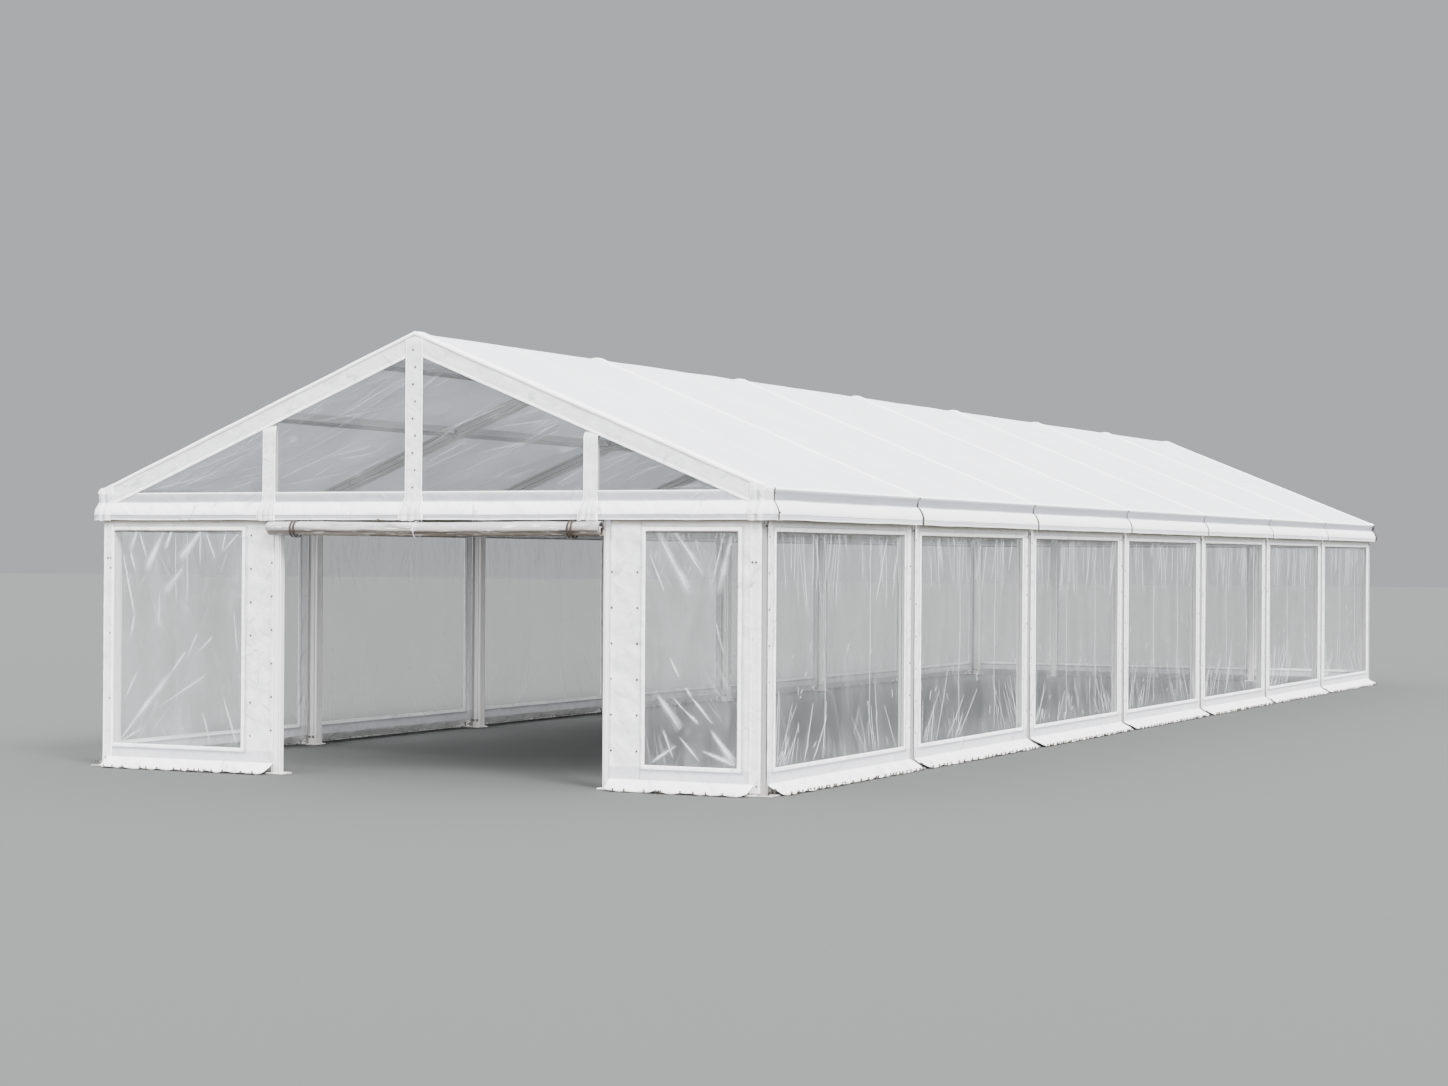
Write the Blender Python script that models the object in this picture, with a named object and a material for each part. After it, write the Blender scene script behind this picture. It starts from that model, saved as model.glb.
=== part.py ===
"""Frame marquee with a gable roof, clear windows all round and an open doorway in the front gable.

Units are metres and +Z is up. X runs across the tent, Y runs along it with the doorway at -Y, and the origin is
at ground level in the middle of the plan. Run it with blender --background --python part.py.
"""

import math

import bmesh
import bpy
from mathutils import Vector

# The tent as a whole
SPAN = 6.0  # over the outer faces of the legs
BAY_COUNT = 7
BAY_LENGTH = 3.0  # from one portal frame to the next
EAVE_HEIGHT = 2.28  # roof edge above the ground
ROOF_RISE = 1.24  # from the roof edge to the top of the ridge
ROOF_OVERHANG = 0.06  # roof edge past the legs
SEAT_GAP = 0.0003  # between pieces that rest on each other

# Portal frames
FRAME_WIDTH = 0.10  # along the tent
LEG_DEPTH = 0.10
RAFTER_DEPTH = 0.10
PLATE_THICKNESS = 0.012
PLATE_WIDTH = 0.18  # along the tent
PLATE_REACH_OUT = 0.10  # past the leg's outer face
PLATE_REACH_IN = 0.015

# Purlins
PURLIN_WIDTH = 0.05
PURLIN_DEPTH = 0.08
BRACKET_LENGTH = 0.035
BRACKET_DROP = 0.015  # bracket below its purlin
DRAWBOLT_SIDE = 0.016  # square bolt that joins two purlins through a rafter
MID_PURLIN_OFFSET = 1.45  # from the ridge line
UPPER_PURLIN_OFFSET = 0.45

# Sheets
SHEET_THICKNESS = 0.005
FILM_THICKNESS = 0.003
VALANCE_BAND_DROP = 0.09  # upright band below the roof edge
VALANCE_FLARE_DROP = 0.10
VALANCE_FLARE = 0.035
VALANCE_HEM_DROP = 0.045
VALANCE_HEM_FLARE = 0.005

# Wall panels
LEG_STRIP = 0.10  # leg left showing between two side panels
SIDE_PANEL_DROP = 0.02  # top of a side panel below the roof edge
GABLE_PANEL_DROP = 0.04  # top of a gable panel below the fascia's upright band
SILL_HEIGHT = 0.20
WINDOW_DROP = 0.32  # top of the windows below the roof edge
SIDE_BORDER = 0.14
SKIRT_HEIGHT = 0.09
SKIRT_FLARE = 0.16
SKIRT_CUT_BACK = 0.035
FILM_SILL_LAP = 0.05  # film below its window
FILM_TOP_MARGIN = 0.03  # film below the top of a gable panel
FILM_END_MARGIN = 0.02

# Gable frames, seen from outside the tent with X to the right
POST_WIDTH = 0.08
POST_DEPTH = 0.06
LEFT_POST = -1.29  # door posts, below the beam
RIGHT_POST = 1.72
LEFT_UPRIGHT = -1.36  # uprights, from the beam to the rafters
RIGHT_UPRIGHT = 1.57
KING_POST_WIDTH = 0.06
BEAM_DROP = 0.08  # top of the beam below the roof edge
BEAM_DEPTH = 0.10
FOOT_LENGTH = 0.16
FOOT_WIDTH = 0.14

# Gable walls
GABLE_SILL_DROP = 0.02  # foot of the gable windows below the roof edge
GABLE_BORDER = 0.17  # border below the rafter, measured upright
KING_STRIP = 0.155
UPRIGHT_STRIP = 0.12
GABLE_FILM_LAP = 0.04
ROOF_END_LAP = 0.003  # roof cover past the gable cover
CORNER_STRIP = 0.05  # corner leg left showing beside a gable panel
POST_LAP = 0.02  # gable panel over its post
LEFT_CORNER_BORDER = 0.05  # between a front panel's outer end and its window
RIGHT_CORNER_BORDER = 0.14
LEFT_DOOR_BORDER = 0.31  # between a front panel's door end and its window
RIGHT_DOOR_BORDER = 0.30
BACK_WINDOW_BORDER = 0.16

# Rolled door curtain
ROLL_RADIUS = 0.065
ROLL_SIDES = 24
ROLL_DROP = 0.004  # straps below the fascia's hem
STRAP_THICKNESS = 0.003
STRAP_WIDTH = 0.05
STRAP_TOP_DROP = 0.03  # strap's upper end below the top of the beam
STRAP_INSET = 0.25  # strap centre from the end of the roll

# Derived lines
RIDGE_HEIGHT = EAVE_HEIGHT + ROOF_RISE
HALF_SPAN = SPAN / 2
ROOF_EDGE = HALF_SPAN + ROOF_OVERHANG
HALF_LENGTH = BAY_COUNT * BAY_LENGTH / 2
GABLE_PLANE = HALF_LENGTH + FRAME_WIDTH / 2
SLOPE = ROOF_RISE / ROOF_EDGE
PITCH = math.atan(SLOPE)
LEG_INNER = HALF_SPAN - LEG_DEPTH
SIDE_PANEL_TOP = EAVE_HEIGHT - SIDE_PANEL_DROP
GABLE_PANEL_TOP = EAVE_HEIGHT - VALANCE_BAND_DROP - GABLE_PANEL_DROP
WINDOW_TOP = EAVE_HEIGHT - WINDOW_DROP
FILM_TOP = GABLE_PANEL_TOP - FILM_TOP_MARGIN
BEAM_TOP = EAVE_HEIGHT - BEAM_DROP
BEAM_BOTTOM = BEAM_TOP - BEAM_DEPTH
GABLE_SILL = EAVE_HEIGHT - GABLE_SILL_DROP
FILM_BACK = SEAT_GAP
SHEET_FACE = FILM_BACK + FILM_THICKNESS + SEAT_GAP + SHEET_THICKNESS  # a wall sheet's outer face off its frame
MERGE_DISTANCE = 0.00001
SHARP_ANGLE = math.radians(40)
QUARTER_TURN = {"front": 0, "right": 1, "back": 2, "left": 3}


def roof_top(x):
    """Height of the roof cover's outer face."""
    return RIDGE_HEIGHT - SLOPE * abs(x)


def rafter_top(x):
    """Height of the rafters' and purlins' top, just under the roof cover."""
    return roof_top(x) - (SHEET_THICKNESS + SEAT_GAP) / math.cos(PITCH)


def rafter_bottom(x):
    """Height of the rafters' underside."""
    return rafter_top(x) - RAFTER_DEPTH / math.cos(PITCH)


def valance_profile():
    """Outward and upright places of the valance, from its hem up to its upright band's foot."""
    band_foot = EAVE_HEIGHT - VALANCE_BAND_DROP
    flare_foot = band_foot - VALANCE_FLARE_DROP
    hem = flare_foot - VALANCE_HEM_DROP
    return [(VALANCE_FLARE + VALANCE_HEM_FLARE, hem), (VALANCE_FLARE, flare_foot), (0.0, band_foot)]


def make_material(name, colour, roughness, metallic=0.0, alpha=1.0):
    """A Principled material."""
    material = bpy.data.materials.new(name)
    material.use_nodes = True
    shader = material.node_tree.nodes["Principled BSDF"]
    shader.inputs["Base Color"].default_value = (*colour, 1.0)
    shader.inputs["Roughness"].default_value = roughness
    shader.inputs["Metallic"].default_value = metallic
    shader.inputs["Alpha"].default_value = alpha
    return material


def add_object(name, mesh, material, side="front"):
    """Link a mesh as an object, turned to its side of the tent."""
    item = bpy.data.objects.new(name, mesh)
    bpy.context.scene.collection.objects.link(item)
    item.rotation_euler.z = QUARTER_TURN[side] * math.pi / 2
    mesh.materials.append(material)
    return item


def mesh_from_bmesh(name, shape):
    """Close a bmesh into a mesh with its faces pointing out."""
    bmesh.ops.recalc_face_normals(shape, faces=shape.faces)
    mesh = bpy.data.meshes.new(name)
    shape.to_mesh(mesh)
    shape.free()
    return mesh


def facing_front(across, height, depth):
    """Place a point drawn on the front: across is X and depth is Y."""
    return (across, depth, height)


def facing_right(outward, height, across):
    """Place a point drawn on the end of a piece that lies across the front."""
    return (across, -outward, height)


def prism_mesh(name, outline, near, far, place=facing_front):
    """An outline as a solid from one depth to another."""
    shape = bmesh.new()
    ends = [[shape.verts.new(place(a, b, depth)) for a, b in outline] for depth in (near, far)]
    for verts in ends:
        shape.faces.new(verts)
    for first in range(len(outline)):
        second = (first + 1) % len(outline)
        shape.faces.new([ends[0][first], ends[0][second], ends[1][second], ends[1][first]])
    return mesh_from_bmesh(name, shape)


def box_mesh(name, low, high):
    """A box between two corners."""
    outline = [(low[0], low[2]), (high[0], low[2]), (high[0], high[2]), (low[0], high[2])]
    return prism_mesh(name, outline, low[1], high[1])


def worked_mesh(name, body, welded=(), cut=()):
    """A body with other solids welded to it and holes cut through it."""
    scene = bpy.context.scene.collection.objects
    target = bpy.data.objects.new(name, body)
    scene.link(target)
    helpers = []
    for operation, tools in (("UNION", welded), ("DIFFERENCE", cut)):
        for tool in tools:
            helper = bpy.data.objects.new("guide", tool)
            helper.hide_render = True
            helper.display_type = "WIRE"
            scene.link(helper)
            step = target.modifiers.new(operation.lower(), "BOOLEAN")
            step.operation = operation
            step.object = helper
            helpers.append(helper)
    bpy.context.view_layer.update()
    mesh = bpy.data.meshes.new_from_object(target.evaluated_get(bpy.context.evaluated_depsgraph_get()))
    mesh.name = name
    mesh.materials.clear()
    for item in [target, *helpers]:
        bpy.data.objects.remove(item)
    return mesh


def folded_sheet(name, points, keep, material, side="front"):
    """A sheet through a grid of points on its outer face, without the cells that keep() refuses."""
    shape = bmesh.new()
    grid = [[shape.verts.new(point) for point in row] for row in points]
    for row in range(len(grid) - 1):
        for column in range(len(grid[0]) - 1):
            if keep(row, column):
                below, above = grid[row], grid[row + 1]
                shape.faces.new([below[column], below[column + 1], above[column + 1], above[column]])
    loose = [vert for vert in shape.verts if not vert.link_faces]
    bmesh.ops.delete(shape, geom=loose, context="VERTS")
    bmesh.ops.remove_doubles(shape, verts=shape.verts, dist=MERGE_DISTANCE)
    mesh = bpy.data.meshes.new(name)
    shape.to_mesh(mesh)
    shape.free()
    item = add_object(name, mesh, material, side)
    wall = item.modifiers.new("thickness", "SOLIDIFY")
    wall.thickness = SHEET_THICKNESS
    wall.offset = -1.0
    wall.use_even_offset = True
    wall.use_rim = True


def loft_mesh(name, rings):
    """A solid through rings of four points, closed at both ends."""
    shape = bmesh.new()
    layers = [[shape.verts.new(point) for point in ring] for ring in rings]
    for lower, upper in zip(layers, layers[1:]):
        for step in range(4):
            after = (step + 1) % 4
            shape.faces.new([lower[step], lower[after], upper[after], upper[step]])
    shape.faces.new(layers[0])
    shape.faces.new(layers[-1])
    return mesh_from_bmesh(name, shape)


class PurlinLine:
    """The section of one purlin line: its place on the roof and its own axes."""

    def __init__(self, name, offset, tilt, top):
        self.name = name
        self.across = Vector((math.cos(tilt), 0.0, math.sin(tilt)))
        self.normal = Vector((-math.sin(tilt), 0.0, math.cos(tilt)))
        self.top_centre = Vector((offset, 0.0, top))

    def section(self, y, half_width, top, bottom):
        """Four corners of a rectangle across the line at y."""
        corners = [(-half_width, bottom), (half_width, bottom), (half_width, top), (-half_width, top)]
        spine = self.top_centre + Vector((0.0, y, 0.0))
        return [spine + self.across * a + self.normal * b for a, b in corners]

    def bolt_section(self, y, half_side):
        """The square of the drawbolt or of its hole at y."""
        middle = -PURLIN_DEPTH / 2
        return self.section(y, half_side, middle + half_side, middle - half_side)

    def bolt_hole(self, start, end):
        """The cutter of the drawbolt's hole through a rafter, past both of its faces."""
        half_side = DRAWBOLT_SIDE / 2 + SEAT_GAP
        rings = [self.bolt_section(y, half_side) for y in (start - DRAWBOLT_SIDE, end + DRAWBOLT_SIDE)]
        return loft_mesh("hole", rings)


def purlin_lines():
    """The seven lines from the left eave to the right eave."""
    eave = HALF_SPAN - PURLIN_WIDTH / 2
    lines = [PurlinLine("purlins_ridge", 0.0, 0.0, rafter_top(PURLIN_WIDTH / 2))]
    for word, hand in (("left", -1), ("right", 1)):
        lines.append(PurlinLine(f"purlins_eave_{word}", hand * eave, 0.0, rafter_top(HALF_SPAN)))
        for place, offset in (("mid", MID_PURLIN_OFFSET), ("upper", UPPER_PURLIN_OFFSET)):
            lines.append(PurlinLine(f"purlins_{place}_{word}", hand * offset, -hand * PITCH, rafter_top(offset)))
    return lines


def frame_y(number):
    """Centre of a portal frame, counted from 0 at the doorway."""
    return -HALF_LENGTH + number * BAY_LENGTH


def build_portal_frame(number, lines, material):
    """Two legs, two rafters and their base plates, bolted up as one frame."""
    foot = PLATE_THICKNESS / 2
    outer = [(HALF_SPAN, foot), (HALF_SPAN, rafter_top(HALF_SPAN)), (0.0, rafter_top(0.0))]
    inner = [(0.0, rafter_bottom(0.0)), (LEG_INNER, rafter_bottom(LEG_INNER)), (LEG_INNER, foot)]
    left_outer = [(-x, z) for x, z in reversed(outer[:-1])]
    left_inner = [(-x, z) for x, z in reversed(inner[1:])]
    outline = outer + left_outer + left_inner + inner
    name = f"portal_frame_{number + 1}"
    middle = frame_y(number)
    near, far = middle - FRAME_WIDTH / 2, middle + FRAME_WIDTH / 2
    is_end = number in (0, BAY_COUNT)
    holes = [] if is_end else [line.bolt_hole(near, far) for line in lines]
    plates = []
    for hand in (-1, 1):
        reach = sorted((hand * (LEG_INNER - PLATE_REACH_IN), hand * (HALF_SPAN + PLATE_REACH_OUT)))
        low = (reach[0], middle - PLATE_WIDTH / 2, 0.0)
        high = (reach[1], middle + PLATE_WIDTH / 2, PLATE_THICKNESS)
        plates.append(box_mesh("plate", low, high))
    add_object(name, worked_mesh(name, prism_mesh(name, outline, near, far), plates, holes), material)


def build_purlin_line(line, material):
    """Seven purlins in a row, joined by the drawbolts through the rafters between them."""
    rings = []
    half_width = PURLIN_WIDTH / 2
    bracket_foot = -PURLIN_DEPTH - BRACKET_DROP
    for bay in range(BAY_COUNT):
        start = frame_y(bay) + FRAME_WIDTH / 2 + SEAT_GAP
        end = frame_y(bay + 1) - FRAME_WIDTH / 2 - SEAT_GAP
        if bay > 0:
            rings.append(line.bolt_section(start, DRAWBOLT_SIDE / 2))
        rings.append(line.section(start, half_width, 0.0, bracket_foot))
        rings.append(line.section(start + BRACKET_LENGTH, half_width, 0.0, bracket_foot))
        rings.append(line.section(start + BRACKET_LENGTH, half_width, 0.0, -PURLIN_DEPTH))
        rings.append(line.section(end - BRACKET_LENGTH, half_width, 0.0, -PURLIN_DEPTH))
        rings.append(line.section(end - BRACKET_LENGTH, half_width, 0.0, bracket_foot))
        rings.append(line.section(end, half_width, 0.0, bracket_foot))
        if bay < BAY_COUNT - 1:
            rings.append(line.bolt_section(end, DRAWBOLT_SIDE / 2))
    add_object(line.name, loft_mesh(line.name, rings), material)


def build_roof_cover(bay, material):
    """One bay of roof with a valance along both eaves."""
    right = [(ROOF_EDGE + out, z) for out, z in valance_profile()] + [(ROOF_EDGE, EAVE_HEIGHT)]
    profile = right + [(0.0, RIDGE_HEIGHT)] + [(-x, z) for x, z in reversed(right)]
    end_reach = FRAME_WIDTH / 2 + SHEET_FACE + ROOF_END_LAP
    start = frame_y(bay) + SEAT_GAP / 2 if bay > 0 else frame_y(0) - end_reach
    end = frame_y(bay + 1) - SEAT_GAP / 2 if bay < BAY_COUNT - 1 else frame_y(BAY_COUNT) + end_reach
    points = [[(x, start, z), (x, end, z)] for x, z in profile]
    folded_sheet(f"roof_cover_{bay + 1}", points, lambda row, column: True, material)


def build_wall_panel(name, plane, edges, top, material, side):
    """A wall panel with its skirt: edges are its ends and its windows' ends, left to right."""
    face = plane + SHEET_FACE
    hem_edges = (edges[0] + SKIRT_CUT_BACK, *edges[1:-1], edges[-1] - SKIRT_CUT_BACK)
    points = [[(u, -face - SKIRT_FLARE, SHEET_THICKNESS) for u in hem_edges]]
    for height in (SKIRT_HEIGHT, SILL_HEIGHT, WINDOW_TOP, top):
        points.append([(u, -face, height) for u in edges])
    window_row = 2
    folded_sheet(name, points, lambda row, column: row != window_row or column % 2 == 0, material, side)


def build_side_wall(side, white, clear):
    """The panels of one long wall, with one sheet of film behind their windows."""
    for bay in range(BAY_COUNT):
        number = bay + 1 if side == "right" else BAY_COUNT - bay
        start = frame_y(bay) + LEG_STRIP / 2
        end = frame_y(bay + 1) - LEG_STRIP / 2
        edges = (start, start + SIDE_BORDER, end - SIDE_BORDER, end)
        build_wall_panel(f"{side}_wall_panel_{number}", HALF_SPAN, edges, SIDE_PANEL_TOP, white, side)
    reach = GABLE_PLANE - FILM_END_MARGIN
    build_film(f"{side}_wall_film", HALF_SPAN, -reach, reach, clear, side)


def build_film(name, plane, start, end, material, side):
    """A sheet of clear film from end to end behind a wall's windows."""
    near = -plane - FILM_BACK
    foot = SILL_HEIGHT - FILM_SILL_LAP
    outline = [(start, foot), (end, foot), (end, FILM_TOP), (start, FILM_TOP)]
    add_object(name, prism_mesh(name, outline, near - FILM_THICKNESS, near), material, side)


def build_gable_frame(side, material):
    """Beam, two door posts on feet and a king post, all inside the end portal frame."""
    clearance = SEAT_GAP / math.cos(PITCH)
    foot = PLATE_THICKNESS / 2
    reach = LEG_INNER - SEAT_GAP

    def under_rafter(x):
        return rafter_bottom(x) - clearance

    def post_down(centre):
        half = POST_WIDTH / 2
        return [(centre - half, BEAM_BOTTOM), (centre - half, foot), (centre + half, foot), (centre + half, BEAM_BOTTOM)]

    def post_up(centre):
        half = POST_WIDTH / 2
        sides = (centre + half, centre - half)
        return [(sides[0], BEAM_TOP), *[(x, under_rafter(x)) for x in sides], (sides[1], BEAM_TOP)]

    king = KING_POST_WIDTH / 2
    outline = [(-reach, BEAM_BOTTOM), *post_down(LEFT_POST), *post_down(RIGHT_POST), (reach, BEAM_BOTTOM)]
    outline += [(reach, BEAM_TOP), *post_up(RIGHT_UPRIGHT)]
    outline += [(king, BEAM_TOP), (king, under_rafter(king)), (0.0, under_rafter(0.0)), (-king, under_rafter(king)),
                (-king, BEAM_TOP)]
    outline += [*post_up(LEFT_UPRIGHT), (-reach, BEAM_TOP)]
    name = f"{side}_gable_frame"
    body = prism_mesh(name, outline, -GABLE_PLANE, -GABLE_PLANE + POST_DEPTH)
    feet = []
    middle = -GABLE_PLANE + FRAME_WIDTH / 2
    for post in (LEFT_POST, RIGHT_POST):
        low = (post - FOOT_LENGTH / 2, middle - FOOT_WIDTH / 2, 0.0)
        high = (post + FOOT_LENGTH / 2, middle + FOOT_WIDTH / 2, PLATE_THICKNESS)
        feet.append(box_mesh("foot", low, high))
    add_object(name, worked_mesh(name, body, feet), material, side)


def build_gable_cover(side, material):
    """White border of the gable with its four windows, and the fascia below them."""
    face = GABLE_PLANE + SHEET_FACE
    end = ROOF_EDGE - SHEET_THICKNESS - SEAT_GAP
    king = KING_STRIP / 2
    strip = UPRIGHT_STRIP / 2
    tip = (roof_top(0.0) - GABLE_BORDER - GABLE_SILL) / SLOPE
    edges = [-end, -tip, LEFT_UPRIGHT - strip, LEFT_UPRIGHT + strip, -king, 0.0, king, RIGHT_UPRIGHT - strip,
             RIGHT_UPRIGHT + strip, tip, end]
    solid_columns = (2, 4, 5, 7)
    points = [[(u, -face - out, z) for u in edges] for out, z in valance_profile()]
    points.append([(u, -face, GABLE_SILL) for u in edges])
    window_row = len(points) - 1
    border = [(u, -face, max(GABLE_SILL, roof_top(u) - GABLE_BORDER)) for u in edges]
    points.append(border)
    points.append([(u, -face, rafter_top(u)) for u in edges])
    folded_sheet(f"{side}_gable_cover", points, lambda row, column: row != window_row or column in solid_columns,
                 material, side)


def build_gable_film(side, material):
    """One sheet of clear film behind the four gable windows."""
    near = -GABLE_PLANE - FILM_BACK
    half = (roof_top(0.0) - GABLE_BORDER - GABLE_SILL) / SLOPE + GABLE_FILM_LAP
    bottom = GABLE_SILL - GABLE_FILM_LAP

    def top(x):
        return roof_top(x) - GABLE_BORDER + GABLE_FILM_LAP

    outline = [(-half, bottom), (half, bottom), (half, top(half)), (0.0, top(0.0)), (-half, top(half))]
    name = f"{side}_gable_film"
    add_object(name, prism_mesh(name, outline, near - FILM_THICKNESS, near), material, side)


def build_front_walls(white, clear):
    """The two panels beside the doorway with their film."""
    corner = HALF_SPAN - CORNER_STRIP
    left_end = LEFT_POST - POST_WIDTH / 2 + POST_LAP
    right_start = RIGHT_POST + POST_WIDTH / 2 - POST_LAP
    left_edges = (-corner, LEFT_CORNER_BORDER - corner, left_end - LEFT_DOOR_BORDER, left_end)
    right_edges = (right_start, right_start + RIGHT_DOOR_BORDER, corner - RIGHT_CORNER_BORDER, corner)
    build_wall_panel("front_wall_panel_left", GABLE_PLANE, left_edges, GABLE_PANEL_TOP, white, "front")
    build_wall_panel("front_wall_panel_right", GABLE_PLANE, right_edges, GABLE_PANEL_TOP, white, "front")
    build_film("front_film_left", GABLE_PLANE, -corner, left_end, clear, "front")
    build_film("front_film_right", GABLE_PLANE, right_start, corner, clear, "front")


def build_back_wall(white, clear):
    """One closed wall with three windows between the posts."""
    corner = HALF_SPAN - CORNER_STRIP
    half = BACK_WINDOW_BORDER / 2
    edges = (-corner, -corner + half, LEFT_POST - half, LEFT_POST + half, RIGHT_POST - half, RIGHT_POST + half,
             corner - half, corner)
    build_wall_panel("back_wall_panel", GABLE_PLANE, edges, GABLE_PANEL_TOP, white, "back")
    build_film("back_wall_film", GABLE_PLANE, -corner, corner, clear, "back")


def roll_centre():
    """Outward place off the gable frame and height of the rolled curtain's axis."""
    ring = ROLL_RADIUS + SEAT_GAP + STRAP_THICKNESS
    return SEAT_GAP + ring, valance_profile()[0][1] - ROLL_DROP - ring


def circle(radius, centre, start, sweep, steps):
    """Points on an arc round a centre, both ends included unless it closes."""
    count = steps if abs(sweep) >= 2 * math.pi else steps + 1
    angles = [start + sweep * step / steps for step in range(count)]
    return [(centre[0] + radius * math.cos(angle), centre[1] + radius * math.sin(angle)) for angle in angles]


def build_door_roll(film, webbing):
    """The door curtain rolled up under the beam, and the two straps that hold it."""
    out, height = roll_centre()
    axis = (GABLE_PLANE + out, height)
    start = LEFT_POST - POST_WIDTH / 2 + POST_LAP + SEAT_GAP
    end = RIGHT_POST - POST_WIDTH / 2 + POST_LAP - SEAT_GAP
    rim = circle(ROLL_RADIUS, axis, 0.0, 2 * math.pi, ROLL_SIDES)
    roll = prism_mesh("door_roll", rim, start, end, facing_right)
    roll.shade_smooth()
    roll.set_sharp_from_angle(angle=SHARP_ANGLE)
    add_object("door_roll", roll, film)
    inner = ROLL_RADIUS + SEAT_GAP
    outer = inner + STRAP_THICKNESS
    tab_back = axis[0] - outer
    tab_face = tab_back + STRAP_THICKNESS
    leave = math.acos((STRAP_THICKNESS - outer) / outer)
    top = BEAM_TOP - STRAP_TOP_DROP
    outline = [(tab_face, top), (tab_back, top)]
    outline += circle(outer, axis, math.pi, math.pi + leave, ROLL_SIDES)
    hole = circle(inner, axis, 0.0, 2 * math.pi, ROLL_SIDES)
    for word, centre in (("left", start + STRAP_INSET), ("right", end - STRAP_INSET)):
        name = f"roll_strap_{word}"
        band = prism_mesh(name, outline, centre - STRAP_WIDTH / 2, centre + STRAP_WIDTH / 2, facing_right)
        core = prism_mesh("core", hole, centre - STRAP_WIDTH, centre + STRAP_WIDTH, facing_right)
        add_object(name, worked_mesh(name, band, cut=[core]), webbing)


def clear_scene():
    """Start from an empty scene."""
    for item in list(bpy.data.objects):
        bpy.data.objects.remove(item)


def build_tent():
    """Make every piece of the marquee."""
    aluminium = make_material("aluminium", (0.62, 0.60, 0.57), 0.45, metallic=0.8)
    white = make_material("white_pvc", (0.90, 0.90, 0.92), 0.55)
    clear = make_material("clear_pvc", (0.75, 0.78, 0.80), 0.12, alpha=0.3)
    rolled = make_material("rolled_clear_pvc", (0.70, 0.67, 0.62), 0.25)
    webbing = make_material("webbing", (0.10, 0.07, 0.05), 0.8)
    lines = purlin_lines()
    for number in range(BAY_COUNT + 1):
        build_portal_frame(number, lines, aluminium)
    for line in lines:
        build_purlin_line(line, aluminium)
    for bay in range(BAY_COUNT):
        build_roof_cover(bay, white)
    for side in ("left", "right"):
        build_side_wall(side, white, clear)
    for side in ("front", "back"):
        build_gable_frame(side, aluminium)
        build_gable_cover(side, white)
        build_gable_film(side, clear)
    build_front_walls(white, clear)
    build_back_wall(white, clear)
    build_door_roll(rolled, webbing)


clear_scene()
build_tent()
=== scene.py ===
"""Looks of a white frame marquee with clear windows all round and an open doorway in its front gable.

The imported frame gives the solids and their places, and each class here dresses one sub-assembly of the tent
in the same metres and axes: X across the tent, Y along it with the doorway at -Y, Z up, origin on the ground
in the middle of the plan. A place on a wall is given as seen from outside: how far across to the right, how
far out, how high.
"""

import logging
import math
from abc import ABC, abstractmethod
from collections.abc import Callable, Sequence
from dataclasses import dataclass, field
from enum import Enum

import bpy
import numpy as np
from mathutils import Matrix, Vector

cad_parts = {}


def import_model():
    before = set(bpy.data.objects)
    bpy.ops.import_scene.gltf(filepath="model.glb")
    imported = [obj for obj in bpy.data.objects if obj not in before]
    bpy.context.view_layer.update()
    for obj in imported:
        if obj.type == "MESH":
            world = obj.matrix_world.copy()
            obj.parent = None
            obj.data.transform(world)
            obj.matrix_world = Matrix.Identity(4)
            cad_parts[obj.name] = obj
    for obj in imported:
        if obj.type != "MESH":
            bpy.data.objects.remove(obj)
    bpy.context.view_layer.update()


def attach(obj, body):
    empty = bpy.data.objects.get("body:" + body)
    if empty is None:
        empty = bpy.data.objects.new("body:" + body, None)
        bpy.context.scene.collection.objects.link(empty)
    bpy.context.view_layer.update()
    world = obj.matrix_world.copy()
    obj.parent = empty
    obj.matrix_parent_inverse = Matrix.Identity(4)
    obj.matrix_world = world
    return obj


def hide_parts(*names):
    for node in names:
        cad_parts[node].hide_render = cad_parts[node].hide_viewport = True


LOG = logging.getLogger("marquee")
BODY = "root"
HAND = {-1: "left", 1: "right"}
SMOOTH_ANGLE = math.radians(38)
Array = np.ndarray
Colour = tuple[float, float, float]
Socket = bpy.types.NodeSocket
Outputs = bpy.types.NodeOutputs


# Sizes


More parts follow.
